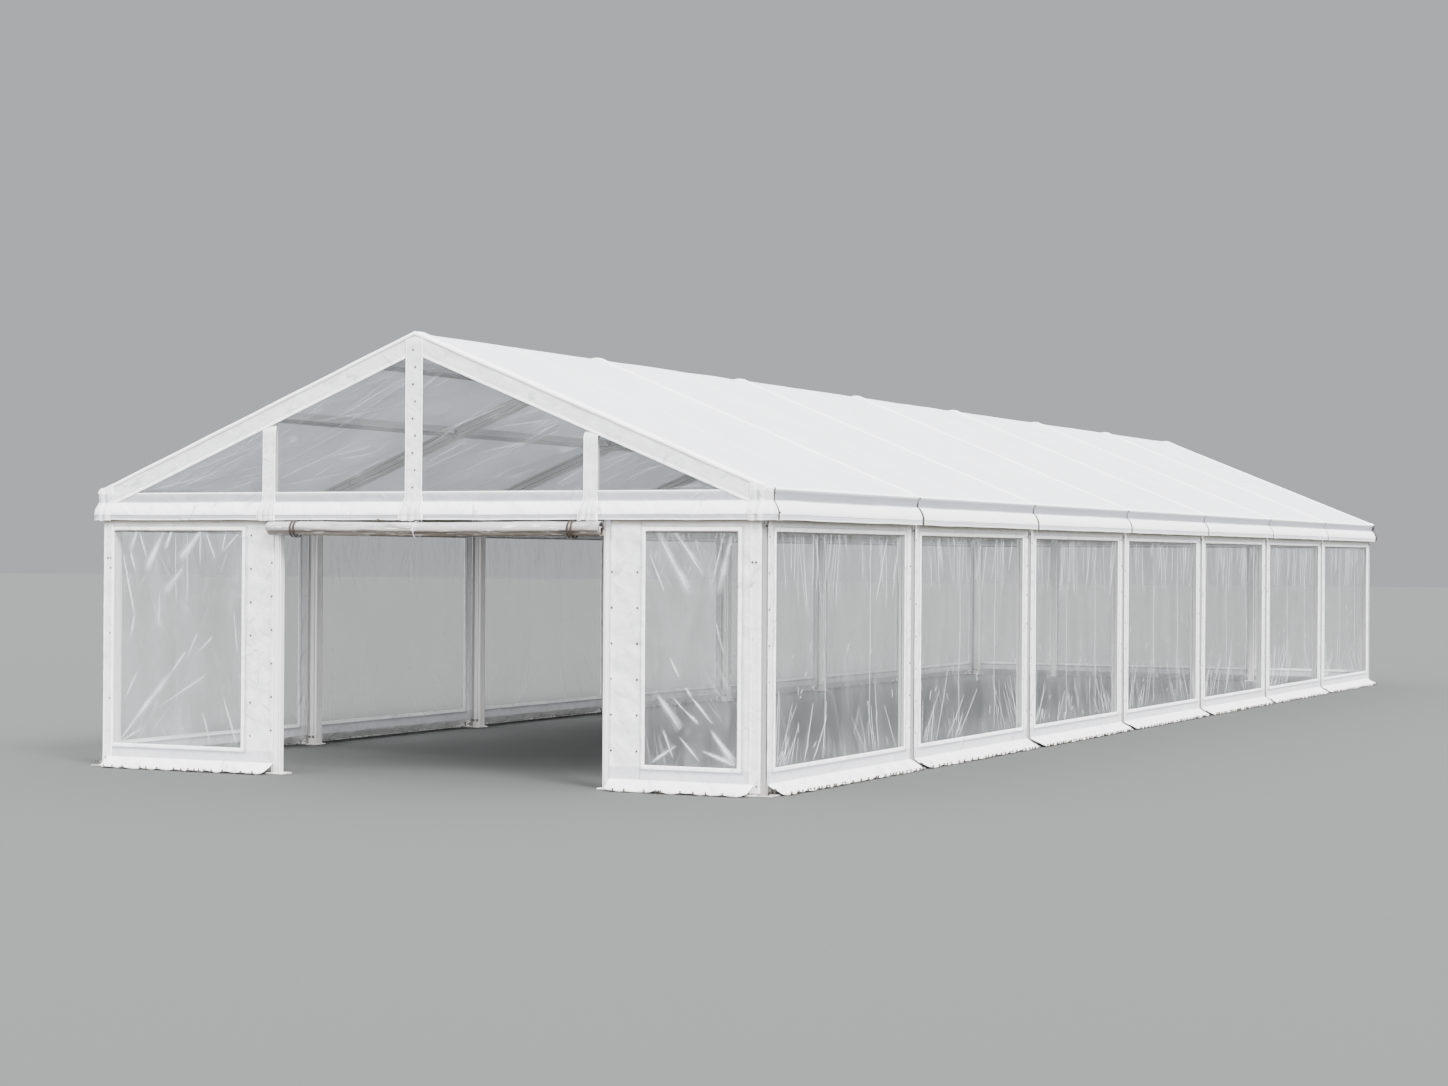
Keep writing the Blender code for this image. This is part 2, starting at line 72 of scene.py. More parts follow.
@dataclass(frozen=True)
class Tent:
    """Sizes that the sub-assemblies share, in metres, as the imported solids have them."""

    half_span: float = 3.0
    half_length: float = 10.5
    bay_count: int = 7
    bay: float = 3.0
    eave: float = 2.28
    rise: float = 1.24
    roof_edge: float = 3.06
    frame_width: float = 0.10
    member_depth: float = 0.10
    sheet: float = 0.005
    film: float = 0.003
    gap: float = 0.0003
    sill: float = 0.20
    window_top: float = 1.96
    side_panel_top: float = 2.26
    gable_panel_top: float = 2.15
    hem_height: float = 2.045
    beam_top: float = 2.20
    beam_depth: float = 0.10
    left_post: float = -1.29
    right_post: float = 1.72
    left_upright: float = -1.36
    right_upright: float = 1.57
    post_width: float = 0.08
    post_depth: float = 0.06

    @property
    def slope(self) -> float:
        """Rise of the roof for each metre across."""
        return self.rise / self.roof_edge

    @property
    def pitch(self) -> float:
        """Angle of the roof."""
        return math.atan(self.slope)

    @property
    def gable_plane(self) -> float:
        """Distance of a gable frame's outer face from the middle of the tent."""
        return self.half_length + self.frame_width / 2

    @property
    def sheet_face(self) -> float:
        """Outer face of a wall sheet, out from the frame that carries it."""
        return 2 * self.gap + self.film + self.sheet

    @property
    def gable_face(self) -> float:
        """Distance of a gable sheet's outer face from the middle of the tent."""
        return self.gable_plane + self.sheet_face

    def roof_top(self, across: Array | float) -> Array | float:
        """Height of the roof's outer face."""
        return self.eave + self.rise - self.slope * np.abs(across)

    def rafter_top(self, across: Array | float) -> Array | float:
        """Height of the rafters' top, just under the roof."""
        return self.roof_top(across) - (self.sheet + self.gap) / math.cos(self.pitch)

    def rafter_foot(self, across: Array | float) -> Array | float:
        """Height of the rafters' underside."""
        return self.rafter_top(across) - self.member_depth / math.cos(self.pitch)

    def window_head(self, across: Array) -> Array:
        """Height of a wall window's top."""
        return np.full(np.shape(across), self.window_top)

    def frame_y(self, number: int) -> float:
        """Centre of a portal frame, counted from 0 at the doorway."""
        return -self.half_length + number * self.bay


class Side(Enum):
    """A side of the tent, by its quarter turns from the front."""

    FRONT = 0
    RIGHT = 1
    BACK = 2
    LEFT = 3

    def place(self, across: Array, out: Array, height: Array) -> Array:
        """Put points drawn on this side into the tent's axes.

        Args:
            across: Distance to the right, seen from outside.
            out: Distance out from the middle of the tent.
            height: Height above the ground.

        Returns:
            The points, with their three coordinates in the last axis.
        """
        across, out, height = np.broadcast_arrays(across, out, height)
        turned = {0: (across, -out), 1: (out, across), 2: (-across, out), 3: (-out, -across)}[self.value]
        return np.stack([*turned, height], axis=-1).astype(float)

    def span(self, across: Array, out: Array, height: Array) -> tuple[list[float], list[float]]:
        """Lowest and highest corners of a box between pairs of places on this side."""
        corners = self.place(across, out, height)
        return corners.min(0).tolist(), corners.max(0).tolist()

    @property
    def turn(self) -> tuple[float, float, float]:
        """Turn that points a fitting's own Z out of this side."""
        return (math.pi / 2, 0.0, self.value * math.pi / 2)


# Mesh drafting


def seed_of(name: str) -> int:
    """A fixed seed from a piece's name."""
    return sum((place + 1) * ord(letter) for place, letter in enumerate(name))


def fill_lines(marks: Sequence[float], step: float) -> Array:
    """Sorted marks with lines between them no further apart than a step.

    Args:
        marks: Places that have to be lines.
        step: Longest distance between two lines.

    Returns:
        The lines.
    """
    marks = np.unique(np.round(np.asarray(marks, float), 6))
    lines = [marks[0]]
    for low, high in zip(marks, marks[1:]):
        count = max(1, math.ceil((high - low) / step - 1e-6))
        lines.extend(np.linspace(low, high, count + 1)[1:])
    return np.asarray(lines)


def smooth_step(value: Array) -> Array:
    """Zero below 0, one above 1 and an even rise between."""
    value = np.clip(value, 0.0, 1.0)
    return value * value * (3 - 2 * value)


def bell(offset: Array, width: float) -> Array:
    """One at no offset, with an even fall to 0 on both sides."""
    return np.exp(-((offset / width) ** 2))


class Ripple:
    """Smooth seeded unevenness from -1 to 1 over a surface."""

    WAVES = 9

    def __init__(self, seed: int, wave: float, stretch: float = 1.0, lean: float = 0.0) -> None:
        """Choose the waves.

        Args:
            seed: Seed of the random draws.
            wave: Typical length of a wave, in metres.
            stretch: How much longer the waves are along the second axis.
            lean: Turn of both axes, in radians.
        """
        rng = np.random.default_rng(seed)
        angle = rng.uniform(0, 2 * math.pi, self.WAVES)
        number = 2 * math.pi / (wave * rng.uniform(0.55, 1.8, self.WAVES))
        across, along = np.cos(angle) * number, np.sin(angle) * number / stretch
        self.across = across * math.cos(lean) - along * math.sin(lean)
        self.along = across * math.sin(lean) + along * math.cos(lean)
        self.phase = rng.uniform(0, 2 * math.pi, self.WAVES)

    def __call__(self, across: Array, along: Array) -> Array:
        """Height of the ripple at points of the surface."""
        across, along = np.broadcast_arrays(across, along)
        total = np.zeros(across.shape)
        for a, b, phase in zip(self.across, self.along, self.phase):
            total = total + np.sin(a * across + b * along + phase)
        return np.clip(total / math.sqrt(self.WAVES), -1.6, 1.6) / 1.6


class Draft:
    """Points, faces and masks of one piece before they become a mesh."""

    def __init__(self) -> None:
        """Start empty."""
        self.points: list[Array] = []
        self.faces: list[list[int]] = []
        self.masks: dict[str, list[Array]] = {}
        self.flat: list[Array] = []
        self.count = 0

    def _add_points(self, points: Array, masks: dict[str, Array] | None, flat: Array | None) -> int:
        """Add points with their masks and flat places, and give the index of the first."""
        points = np.asarray(points, float).reshape(-1, 3)
        start = self.count
        self.points.append(points)
        self.flat.append(np.zeros((len(points), 2)) if flat is None
                         else np.asarray(flat, float).reshape(-1, 2))
        for name in set(self.masks) | set(masks or {}):
            if name not in self.masks:
                self.masks[name] = [np.zeros(start)]
            value = (masks or {}).get(name, 0.0)
            self.masks[name].append(np.broadcast_to(np.asarray(value, float).ravel(), (len(points),)))
        self.count += len(points)
        return start

    def grid(self, points: Array, keep: Array | None = None, masks: dict[str, Array] | None = None,
             flat: Array | None = None, round_rows: bool = False) -> None:
        """Add a sheet through a grid of points.

        Args:
            points: Rows by columns by three. Seen from the sheet's face, columns run right and rows run up.
            keep: The cells to make, all of them by default.
            masks: Values at the points, by name.
            flat: Rows by columns by two, the points' places on the sheet when it lay flat.
            round_rows: Join the last row to the first.
        """
        rows, columns = points.shape[:2]
        start = self._add_points(points, masks, flat)
        index = start + np.arange(rows * columns).reshape(rows, columns)
        if round_rows:
            index = np.vstack([index, index[:1]])
        cells = np.stack([index[:-1, :-1], index[:-1, 1:], index[1:, 1:], index[1:, :-1]], axis=-1)
        chosen = cells.reshape(-1, 4) if keep is None else cells[keep]
        self.faces.extend(chosen.tolist())

    def loft(self, rings: Sequence[Array], masks: dict[str, Array] | None = None) -> None:
        """Add a solid through closed rings of as many points each, capped at both ends.

        Args:
            rings: The rings. Seen from the last one back to the first, each runs clockwise.
            masks: Values at the points, by name.
        """
        size = len(rings[0])
        centres = np.array([np.mean(ring, axis=0) for ring in rings])
        length = np.concatenate([[0.0], np.cumsum(np.linalg.norm(np.diff(centres, axis=0), axis=1))])
        girth = np.concatenate([[0.0], np.cumsum(np.linalg.norm(np.diff(rings[0], axis=0), axis=1))])
        flat = np.stack(np.meshgrid(girth, length), axis=-1)
        start = self._add_points(np.concatenate(rings), masks, flat)
        for layer in range(len(rings) - 1):
            low, high = start + layer * size, start + (layer + 1) * size
            for step in range(size):
                after = (step + 1) % size
                self.faces.append([low + step, low + after, high + after, high + step])
        self.faces.append([start + step for step in reversed(range(size))])
        last = start + (len(rings) - 1) * size
        self.faces.append([last + step for step in range(size)])

    def bar(self, rings: Sequence[Array], masks: dict[str, Array] | None = None) -> None:
        """Add a solid through rings that may run either way round."""
        way = rings[-1].mean(0) - rings[0].mean(0)
        ring = rings[0] - rings[0].mean(0)
        area = np.cross(ring, np.roll(ring, -1, axis=0)).sum(0)
        self.loft(rings[::-1] if float(area @ way) < 0 else rings, masks)

    def box(self, low: Sequence[float], high: Sequence[float], bevel: float = 0.0) -> None:
        """Add a box with its upright and level edges cut back by a bevel."""
        (x0, y0, z0), (x1, y1, z1) = low, high
        rings = []
        for height, inset in ((z0, bevel), (z0 + bevel, 0.0), (z1 - bevel, 0.0), (z1, bevel)):
            a0, a1, b0, b1, c = x0 + inset, x1 - inset, y0 + inset, y1 - inset, max(bevel, 1e-4)
            ring = [(a0 + c, b0), (a1 - c, b0), (a1, b0 + c), (a1, b1 - c), (a1 - c, b1), (a0 + c, b1),
                    (a0, b1 - c),
                    (a0, b0 + c)]
            rings.append(np.array([(a, b, height) for a, b in ring]))
        self.loft(rings)

    def mesh(self, name: str, angle: float = SMOOTH_ANGLE) -> bpy.types.Mesh:
        """Make the mesh, shaded smooth up to an angle.

        Args:
            name: The mesh's name.
            angle: Edges sharper than this stay sharp.

        Returns:
            The mesh.
        """
        mesh = bpy.data.meshes.new(name)
        mesh.from_pydata(np.concatenate(self.points).tolist(), [], self.faces)
        for mask, values in self.masks.items():
            mesh.attributes.new(mask, "FLOAT", "POINT").data.foreach_set("value", np.concatenate(values))
        corners = np.zeros(len(mesh.loops), np.int32)
        mesh.loops.foreach_get("vertex_index", corners)
        mesh.uv_layers.new(name="flat").data.foreach_set("uv", np.concatenate(self.flat)[corners].ravel())
        mesh.validate()
        mesh.shade_smooth()
        mesh.set_sharp_from_angle(angle=angle)
        return mesh


def settle(name: str, shape: Draft | bpy.types.Mesh, finish: "Finish",
           stands_for: Sequence[str] = (), wall: float = 0.0,
           angle: float = SMOOTH_ANGLE) -> bpy.types.Object:
    """Put a finished piece on the tent.

    Args:
        name: The piece's name.
        shape: Its draft or its mesh, in the tent's axes.
        finish: Its finish.
        stands_for: The solids that the piece replaces.
        wall: Thickness that a sheet gets behind its face.
        angle: Edges of a draft that are sharper than this stay sharp.

    Returns:
        The piece's object.
    """
    mesh = shape.mesh(name, angle) if isinstance(shape, Draft) else shape
    item = bpy.data.objects.new(name, mesh)
    bpy.context.scene.collection.objects.link(item)
    mesh.materials.clear()
    mesh.materials.append(finish.material())
    if wall:
        thickness = item.modifiers.new("thickness", "SOLIDIFY")
        thickness.thickness = wall
        thickness.offset = -1.0
        thickness.use_rim = True
    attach(item, BODY)
    if stands_for:
        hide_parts(*stands_for)
    LOG.info("%s: %d faces", name, len(mesh.polygons))
    return item


# Node drafting


class NodeSheet:
    """A node tree being drawn up."""

    def __init__(self, tree: bpy.types.NodeTree) -> None:
        """Keep the tree."""
        self.tree = tree

    def add(self, kind: str, inputs: dict[str | int, object] | None = None,
            **settings: object) -> bpy.types.Node:
        """Add a node.

        Args:
            kind: The node's type.
            inputs: Values or sockets for its inputs, by name or number.
            **settings: The node's own settings.

        Returns:
            The node.
        """
        node = self.tree.nodes.new(kind)
        for key, value in settings.items():
            setattr(node, key, value)
        for key, value in (inputs or {}).items():
            self.feed(node.inputs[key], value)
        return node

    def feed(self, socket: Socket, value: object) -> None:
        """Link an input to a socket or set it to a value, a colour by its three numbers."""
        if isinstance(value, Socket):
            self.tree.links.new(value, socket)
        else:
            socket.default_value = (*value, 1.0) if socket.type == "RGBA" else value

    def dress(self, node: bpy.types.Node, **inputs: object) -> bpy.types.Node:
        """Feed a node's inputs, whose names have _ for a space, and give the node."""
        for key, value in inputs.items():
            self.feed(node.inputs[key.replace("_", " ")], value)
        return node

    def use(self, effect: "Effect", **inputs: object) -> Outputs:
        """Place a shared effect with its own values and give its outputs."""
        return self.dress(self.add("ShaderNodeGroup", node_tree=effect.group()), **inputs).outputs

    def math(self, operation: str, first: object, second: object = 0.0, clamp: bool = False) -> Socket:
        """Add a Math node and give its result."""
        node = self.add("ShaderNodeMath", {0: first, 1: second}, operation=operation, use_clamp=clamp)
        return node.outputs[0]

    def times(self, first: object, second: object, clamp: bool = False) -> Socket:
        """Multiply two values."""
        return self.math("MULTIPLY", first, second, clamp)

    def plus(self, first: object, second: object) -> Socket:
        """Add two values."""
        return self.math("ADD", first, second)

    def blend(self, factor: object, first: object, second: object) -> Socket:
        """Mix two colours and give the result."""
        node = self.add("ShaderNodeMix", data_type="RGBA", clamp_factor=True)
        colours = [socket for socket in node.inputs if socket.type == "RGBA"]
        for socket, value in zip((node.inputs[0], *colours), (factor, first, second)):
            self.feed(socket, value)
        return next(socket for socket in node.outputs if socket.type == "RGBA")

    def spread(self, value: object, low: float, high: float, to_low: float = 0.0,
               to_high: float = 1.0) -> Socket:
        """Map a range of values to another and give the result."""
        node = self.add("ShaderNodeMapRange", {0: value, 1: low, 2: high, 3: to_low, 4: to_high}, clamp=True)
        return node.outputs[0]

    def noise(self, place: object, scale: float, detail: float = 3.0, rough: float = 0.5,
              warp: float = 0.0) -> Socket:
        """Add a noise texture and give its value."""
        node = self.add("ShaderNodeTexNoise",
                        {"Vector": place, "Scale": scale, "Detail": detail, "Roughness": rough,
                                               "Distortion": warp})
        return node.outputs[0]

    def stretched(self, place: object, scale: Sequence[float]) -> Socket:
        """Scale coordinates and give the result."""
        return self.add("ShaderNodeMapping", {"Vector": place, "Scale": scale}).outputs[0]

    def turned(self, place: object, angle: object) -> Socket:
        """Turn coordinates about their Z and give the result."""
        return self.add("ShaderNodeVectorRotate", {"Vector": place, "Angle": angle},
                        rotation_type="Z_AXIS").outputs[0]

    def object_place(self) -> Socket:
        """Places in the tent's axes."""
        return self.add("ShaderNodeTexCoord").outputs["Object"]

    def flat_place(self) -> Socket:
        """Places on a sheet when it lay flat, or along a bar and round it."""
        return self.add("ShaderNodeUVMap", uv_map="flat").outputs[0]

    def parts(self, place: object) -> Outputs:
        """The three coordinates of a place."""
        return self.add("ShaderNodeSeparateXYZ", {0: place}).outputs

    def vector(self, *parts: object) -> Socket:
        """A place from its coordinates."""
        return self.add("ShaderNodeCombineXYZ", dict(enumerate(parts))).outputs[0]

    def mask(self, name: str) -> Socket:
        """A mask that the mesh carries."""
        return self.add("ShaderNodeAttribute", attribute_name=name).outputs["Fac"]

    def bump(self, height: object, distance: float, strength: float, **below: object) -> Socket:
        """Add relief, over that of a given Normal if there is one, and give the normal."""
        inputs = {"Height": height, "Distance": distance, "Strength": strength}
        return self.add("ShaderNodeBump", {**inputs, **below}).outputs[0]


def start_tree(name: str, kind: str, sockets: Sequence[tuple[str, str, str, float | None]]) -> NodeSheet:
    """Start a node group.

    Args:
        name: The group's name.
        kind: Its type of tree.
        sockets: Each input's or output's name, INPUT or OUTPUT, type and own value.

    Returns:
        The group's tree.
    """
    tree = bpy.data.node_groups.new(name, kind)
    for label, way, sort, value in sockets:
        socket = tree.interface.new_socket(label, in_out=way, socket_type=f"NodeSocket{sort}")
        if value is not None:
            socket.default_value = value
    return NodeSheet(tree)


class Effect(ABC):
    """A shader effect that more than one finish uses, built once as a node group."""

    name: str = ""
    places: Sequence[str] = ()
    inputs: dict[str, float] = {}
    outputs: Sequence[str] = ()

    def group(self) -> bpy.types.NodeTree:
        """The effect's node group, made at its first use."""
        known = bpy.data.node_groups.get(self.name)
        if known:
            return known
        sheet = start_tree(self.name, "ShaderNodeTree", [
            *((name, "INPUT", "Vector", None) for name in self.places),
            *((name, "INPUT", "Float", value) for name, value in self.inputs.items()),
            *((name, "OUTPUT", "Float", None) for name in self.outputs)])
        entry = sheet.add("NodeGroupInput")
        result = sheet.add("NodeGroupOutput")
        for name, socket in self.draw(sheet, entry.outputs).items():
            sheet.feed(result.inputs[name], socket)
        return sheet.tree

    @abstractmethod
    def draw(self, sheet: NodeSheet, entry: Outputs) -> dict[str, Socket]:
        """Draw the effect's nodes.

        Args:
            sheet: The group's tree.
            entry: The group's inputs.

        Returns:
            A socket for each of the group's outputs.
        """


class Grime(Effect):
    """Dust that lies in patches, and splashes that thin out above the ground."""

    name = "grime"
    inputs = {"Patch size": 0.8, "Splash height": 0.25, "Amount": 0.5}
    outputs = ("Mask",)

    def draw(self, sheet: NodeSheet, entry: Outputs) -> dict[str, Socket]:
        """Draw patches, fine specks and the splash band above the ground."""
        place = sheet.object_place()
        height = sheet.parts(place)[2]
        scale = sheet.math("DIVIDE", 1.0, entry["Patch size"])
        patch = sheet.spread(sheet.noise(place, scale, 5.0, 0.6), 0.45, 0.75)
        fine = sheet.spread(sheet.noise(place, 26.0, 4.0, 0.7), 0.42, 0.72)
        splash = sheet.math("SUBTRACT", 1.0, sheet.math("DIVIDE", height, entry["Splash height"]), clamp=True)
        splash = sheet.times(sheet.math("POWER", splash, 2.2), sheet.plus(fine, 0.35))
        both = sheet.plus(sheet.times(sheet.times(patch, fine), 0.35), splash)
        return {"Mask": sheet.times(both, entry["Amount"], clamp=True)}


class Scrim(Effect):
    """The woven backing that shows through a coated sheet as a fine square grid."""

    name = "scrim"
    inputs = {"Thread spacing": 0.004}
    outputs = ("Height",)

    def draw(self, sheet: NodeSheet, entry: Outputs) -> dict[str, Socket]:
        """Draw threads along the three axes, so that they cross on every wall and on the roof."""
        place = sheet.object_place()
        parts = sheet.parts(place)
        number = sheet.math("DIVIDE", 2 * math.pi, entry["Thread spacing"])
        waves = [sheet.math("SINE", sheet.times(parts[axis], number)) for axis in range(3)]
        total = sheet.plus(sheet.plus(waves[0], waves[1]), waves[2])
        return {"Height": sheet.times(total, 0.33)}


class Wrinkle(Effect):
    """Soft wrinkles of a hanging sheet, with slanting crests that hold a little shadow."""

    name = "wrinkle"
    places = ("On sheet",)
    inputs = {"Wave": 0.2, "Sharpness": 0.5}
    outputs = ("Height", "Crest")

    def draw(self, sheet: NodeSheet, entry: Outputs) -> dict[str, Socket]:
        """Draw broad waves and two families of crests that slant over them."""
        scale = sheet.math("DIVIDE", 1.0, entry["Wave"])
        broad = sheet.noise(entry["On sheet"], scale, 2.0, 0.45)
        crests: object = 0.0
        for turn, weight in ((0.6, 1.0), (-0.9, 0.45)):
            spin = sheet.turned(entry["On sheet"], turn)
            soft = sheet.noise(sheet.stretched(spin, (1.0, 0.4, 1.0)), sheet.times(scale, 2.0), 2.0, 0.4, 0.9)
            patch = sheet.spread(sheet.noise(spin, sheet.times(scale, 0.5), 1.0, 0.4), 0.42, 0.62)
            soft = sheet.times(sheet.times(sheet.spread(soft, 0.55, 0.72), patch), weight)
            crests = sheet.math("MAXIMUM", crests, soft)
        height = sheet.plus(broad, sheet.times(crests, entry["Sharpness"]))
        return {"Height": height, "Crest": crests}


class Scratch(Effect):
    """Drawn streaks of an extrusion and the scuffs of many set-ups."""

    name = "scratch"
    places = ("Drawn along",)
    inputs = {"Blotch density": 8.0, "Streak density": 90.0}
    outputs = ("Streak", "Scuff")

    def draw(self, sheet: NodeSheet, entry: Outputs) -> dict[str, Socket]:
        """Draw fine streaks along the bar and blotches broken up by specks."""
        place = sheet.object_place()
        streak = sheet.noise(entry["Drawn along"], entry["Streak density"], 3.0, 0.6)
        blotch = sheet.spread(sheet.noise(place, entry["Blotch density"], 4.0, 0.65), 0.5, 0.7)
        speck = sheet.spread(sheet.noise(place, 160.0, 3.0, 0.7), 0.5, 0.66)
        return {"Streak": streak, "Scuff": sheet.times(blotch, speck)}


class Crease(Effect):
    """Creases of clear film: fine milky lines, partly painted highlight, that gather where the film is tied.
    """

    name = "crease"
    inputs = {"Lean": 0.0, "Spread": 0.4, "Density": 14.0, "Gather": 1.0, "Facets": 0.0}
    outputs = ("Line", "Band")

    def draw(self, sheet: NodeSheet, entry: Outputs) -> dict[str, Socket]:
        """Draw four families of thin lines that cross at small angles, soft bands and angular facets."""
        flat = sheet.flat_place()
        total: object = 0.0
        for turn, weight, width in ((-1.0, 1.0, 0.014), (0.7, 0.9, 0.012), (0.12, 0.6, 0.009),
                                    (-0.4, 0.8, 0.011)):
            angle = sheet.plus(entry["Lean"], sheet.times(entry["Spread"], turn))
            spin = sheet.turned(flat, angle)
            thin = sheet.stretched(spin, (1.0, 0.06, 1.0))
            value = sheet.noise(thin, entry["Density"], 1.0, 0.35)
            ridge = sheet.math("ABSOLUTE", sheet.math("SUBTRACT", value, 0.5))
            ridge = sheet.spread(ridge, 0.0, width, 1.0, 0.0)
            patch = sheet.spread(sheet.noise(spin, 2.4 + turn, 3.0, 0.55), 0.47, 0.6)
            total = sheet.math("MAXIMUM", total, sheet.times(sheet.times(ridge, patch), weight))
        lean = sheet.turned(flat, entry["Lean"])
        wide = sheet.stretched(lean, (1.0, 0.22, 1.0))
        band = sheet.spread(sheet.noise(wide, 3.2, 3.0, 0.55), 0.42, 0.72)
        cells = sheet.add("ShaderNodeTexVoronoi",
                          {"Vector": sheet.stretched(lean, (1.0, 0.45, 1.0)), "Scale": 15.0})
        chance = sheet.parts(cells.outputs["Color"])[0]
        facet = sheet.times(sheet.spread(chance, 0.80, 0.84), entry["Facets"])
        facet = sheet.times(facet, sheet.spread(cells.outputs["Distance"], 0.0, 0.5, 0.8, 0.2))
        total = sheet.math("MAXIMUM", total, facet)
        return {"Line": sheet.times(total, entry["Gather"], clamp=True), "Band": band}


# Finishes


class Finish(ABC):
    """A finish of the tent, made into a material once."""

    name: str = ""

    def material(self) -> bpy.types.Material:
        """The finish as a material, made at its first use."""
        known = bpy.data.materials.get(self.name)
        if known:
            return known
        material = bpy.data.materials.new(self.name)
        material.use_nodes = True
        sheet = NodeSheet(material.node_tree)
        self.draw(sheet, material.node_tree.nodes["Principled BSDF"])
        return material

    @abstractmethod
    def draw(self, sheet: NodeSheet, shader: bpy.types.Node) -> None:
        """Draw the finish's nodes.

        Args:
            sheet: The material's tree.
            shader: Its Principled shader.
        """


@dataclass(frozen=True)
class CoatedSheet(Finish):
    """White coated tarpaulin with its woven backing, seams, wrinkles and a little grime, and painted
    highlight, shade and shadow.
    """

    name: str = "white_tarpaulin"
    light: Colour = (0.82, 0.82, 0.835)
    shade: Colour = (0.73, 0.735, 0.76)
    # Painted highlight: near-white laid on hems, welds, beads, raised edges and upturned flares, standing in
    # for the light they catch.
    bright: Colour = (0.99, 0.985, 0.975)
    # Painted shade: dark grey laid on upright bands, the foot above the skirt, fold lines, gaps and the wall
    # tops under the eaves, standing in for the shade there.
    dull: Colour = (0.30, 0.305, 0.335)
    # Painted shadow: dark olive laid just under the roof's hem and along the skirt's foot on the ground,
    # standing in for the shadow there.
    stain: Colour = (0.24, 0.22, 0.14)
    # Painted shade in the wrinkles' crests, so that they show under soft light.
    crest: Colour = (0.44, 0.445, 0.48)
    painted_crest_shade_share: float = 0.55
    lying: bool = False
    soil: Colour = (0.46, 0.44, 0.36)
    roughness: tuple[float, float] = (0.42, 0.58)
    wrinkle_wave: float = 0.16
    wrinkle_depth: float = 0.022
    wrinkle_strength: float = 0.9
    splash_height: float = 0.12
    soil_amount: float = 0.4
    glow: float = 0.12

    def draw(self, sheet: NodeSheet, shader: bpy.types.Node) -> None:
        """Draw the sheet's colour with its painted highlight, shade and shadow, and its roughness and relief.
        """
        place = sheet.object_place()
        parts = sheet.parts(place)
        level, up = (parts[1], parts[0]) if self.lying else (sheet.plus(parts[0], parts[1]), parts[2])
        folds = sheet.use(Wrinkle(), On_sheet=sheet.vector(level, up), Wave=self.wrinkle_wave, Sharpness=0.35)
        patch = sheet.spread(sheet.noise(place, 1.4, 4.0, 0.55), 0.35, 0.68)
        colour = sheet.blend(sheet.times(patch, 0.55), self.light, self.shade)
        # Lay the painted shade, highlight and shadow that the mesh's masks call for.
        for mask in ("dull", "bright", "stain"):
            colour = sheet.blend(sheet.mask(mask), colour, getattr(self, mask))
        # Paint shade into the wrinkles' crests.
        colour = sheet.blend(sheet.times(folds["Crest"], self.painted_crest_shade_share), colour, self.crest)
        grime = sheet.use(Grime(), Patch_size=0.9, Splash_height=self.splash_height, Amount=self.soil_amount)
        broad = sheet.bump(folds["Height"], self.wrinkle_depth, self.wrinkle_strength)
        threads = sheet.use(Scrim(), Thread_spacing=0.0045)
        sheet.dress(shader, Base_Color=sheet.blend(grime[0], colour, self.soil),
                    Roughness=sheet.spread(sheet.noise(place, 7.0, 4.0, 0.6), 0.3, 0.7, *self.roughness),
                    Specular_IOR_Level=0.45, Subsurface_Weight=self.glow, Subsurface_Radius=(1.0, 1.0, 1.0),
                    Subsurface_Scale=0.008, Normal=sheet.bump(threads[0], 0.0002, 0.35, Normal=broad))


@dataclass(frozen=True)
class ClearFilm(Finish):
    """Clear flexible film: see-through, glossy, milky along its creases with painted highlight there too, and
    with a strip of painted shadow at one edge.
    """

    name: str = "clear_film"
    tint: Colour = (0.55, 0.58, 0.59)
    # Milky colour of the creases, which is also painted highlight for their glints.
    milk_and_glint: Colour = (0.97, 0.98, 1.0)
    # Painted shadow: a dark strip along a wall pane's top and a gable pane's foot, standing in for the shadow
    # line where film meets cloth.
    edging: Colour = (0.15, 0.13, 0.12)
    see_through: tuple[float, float] = (0.06, 0.68)
    lean: float = 0.0
    fan: float = 0.4
    density: float = 13.0
    gather: float = 0.75
    facets: float = 0.0
    haze: float = 0.08

    def draw(self, sheet: NodeSheet, shader: bpy.types.Node) -> None:
        """Draw the film's clearness, its creases and its gloss."""
        lines = sheet.use(Crease(), Lean=self.lean, Spread=self.fan, Density=self.density, Gather=self.gather,
                          Facets=self.facets)
        # Whiteness of the creases: the film's milkiness and painted highlight together.
        fine = sheet.times(lines["Line"], sheet.plus(sheet.times(sheet.mask("tied"), 0.35), 0.12))
        milky = sheet.math("MAXIMUM", fine, sheet.mask("crease"), clamp=True)
        clouded = sheet.plus(milky, sheet.times(lines["Band"], self.haze))
        # The dark strip at the edge is painted shadow.
        edge = sheet.mask("edging")
        alpha = sheet.spread(clouded, 0.0, 1.0, *self.see_through)
        colour = sheet.blend(clouded, self.tint, self.milk_and_glint)
        soft = sheet.bump(sheet.noise(sheet.object_place(), 3.2, 2.0, 0.45), 0.03, 0.35)
        sheet.dress(shader, Base_Color=sheet.blend(edge, colour, self.edging),
                    Alpha=sheet.math("MAXIMUM", alpha, sheet.times(edge, 0.8)),
                    Roughness=sheet.spread(milky, 0.0, 1.0, 0.13, 0.32), Specular_IOR_Level=0.6,
                    Normal=sheet.bump(lines["Line"], 0.002, 0.3, Normal=soft))


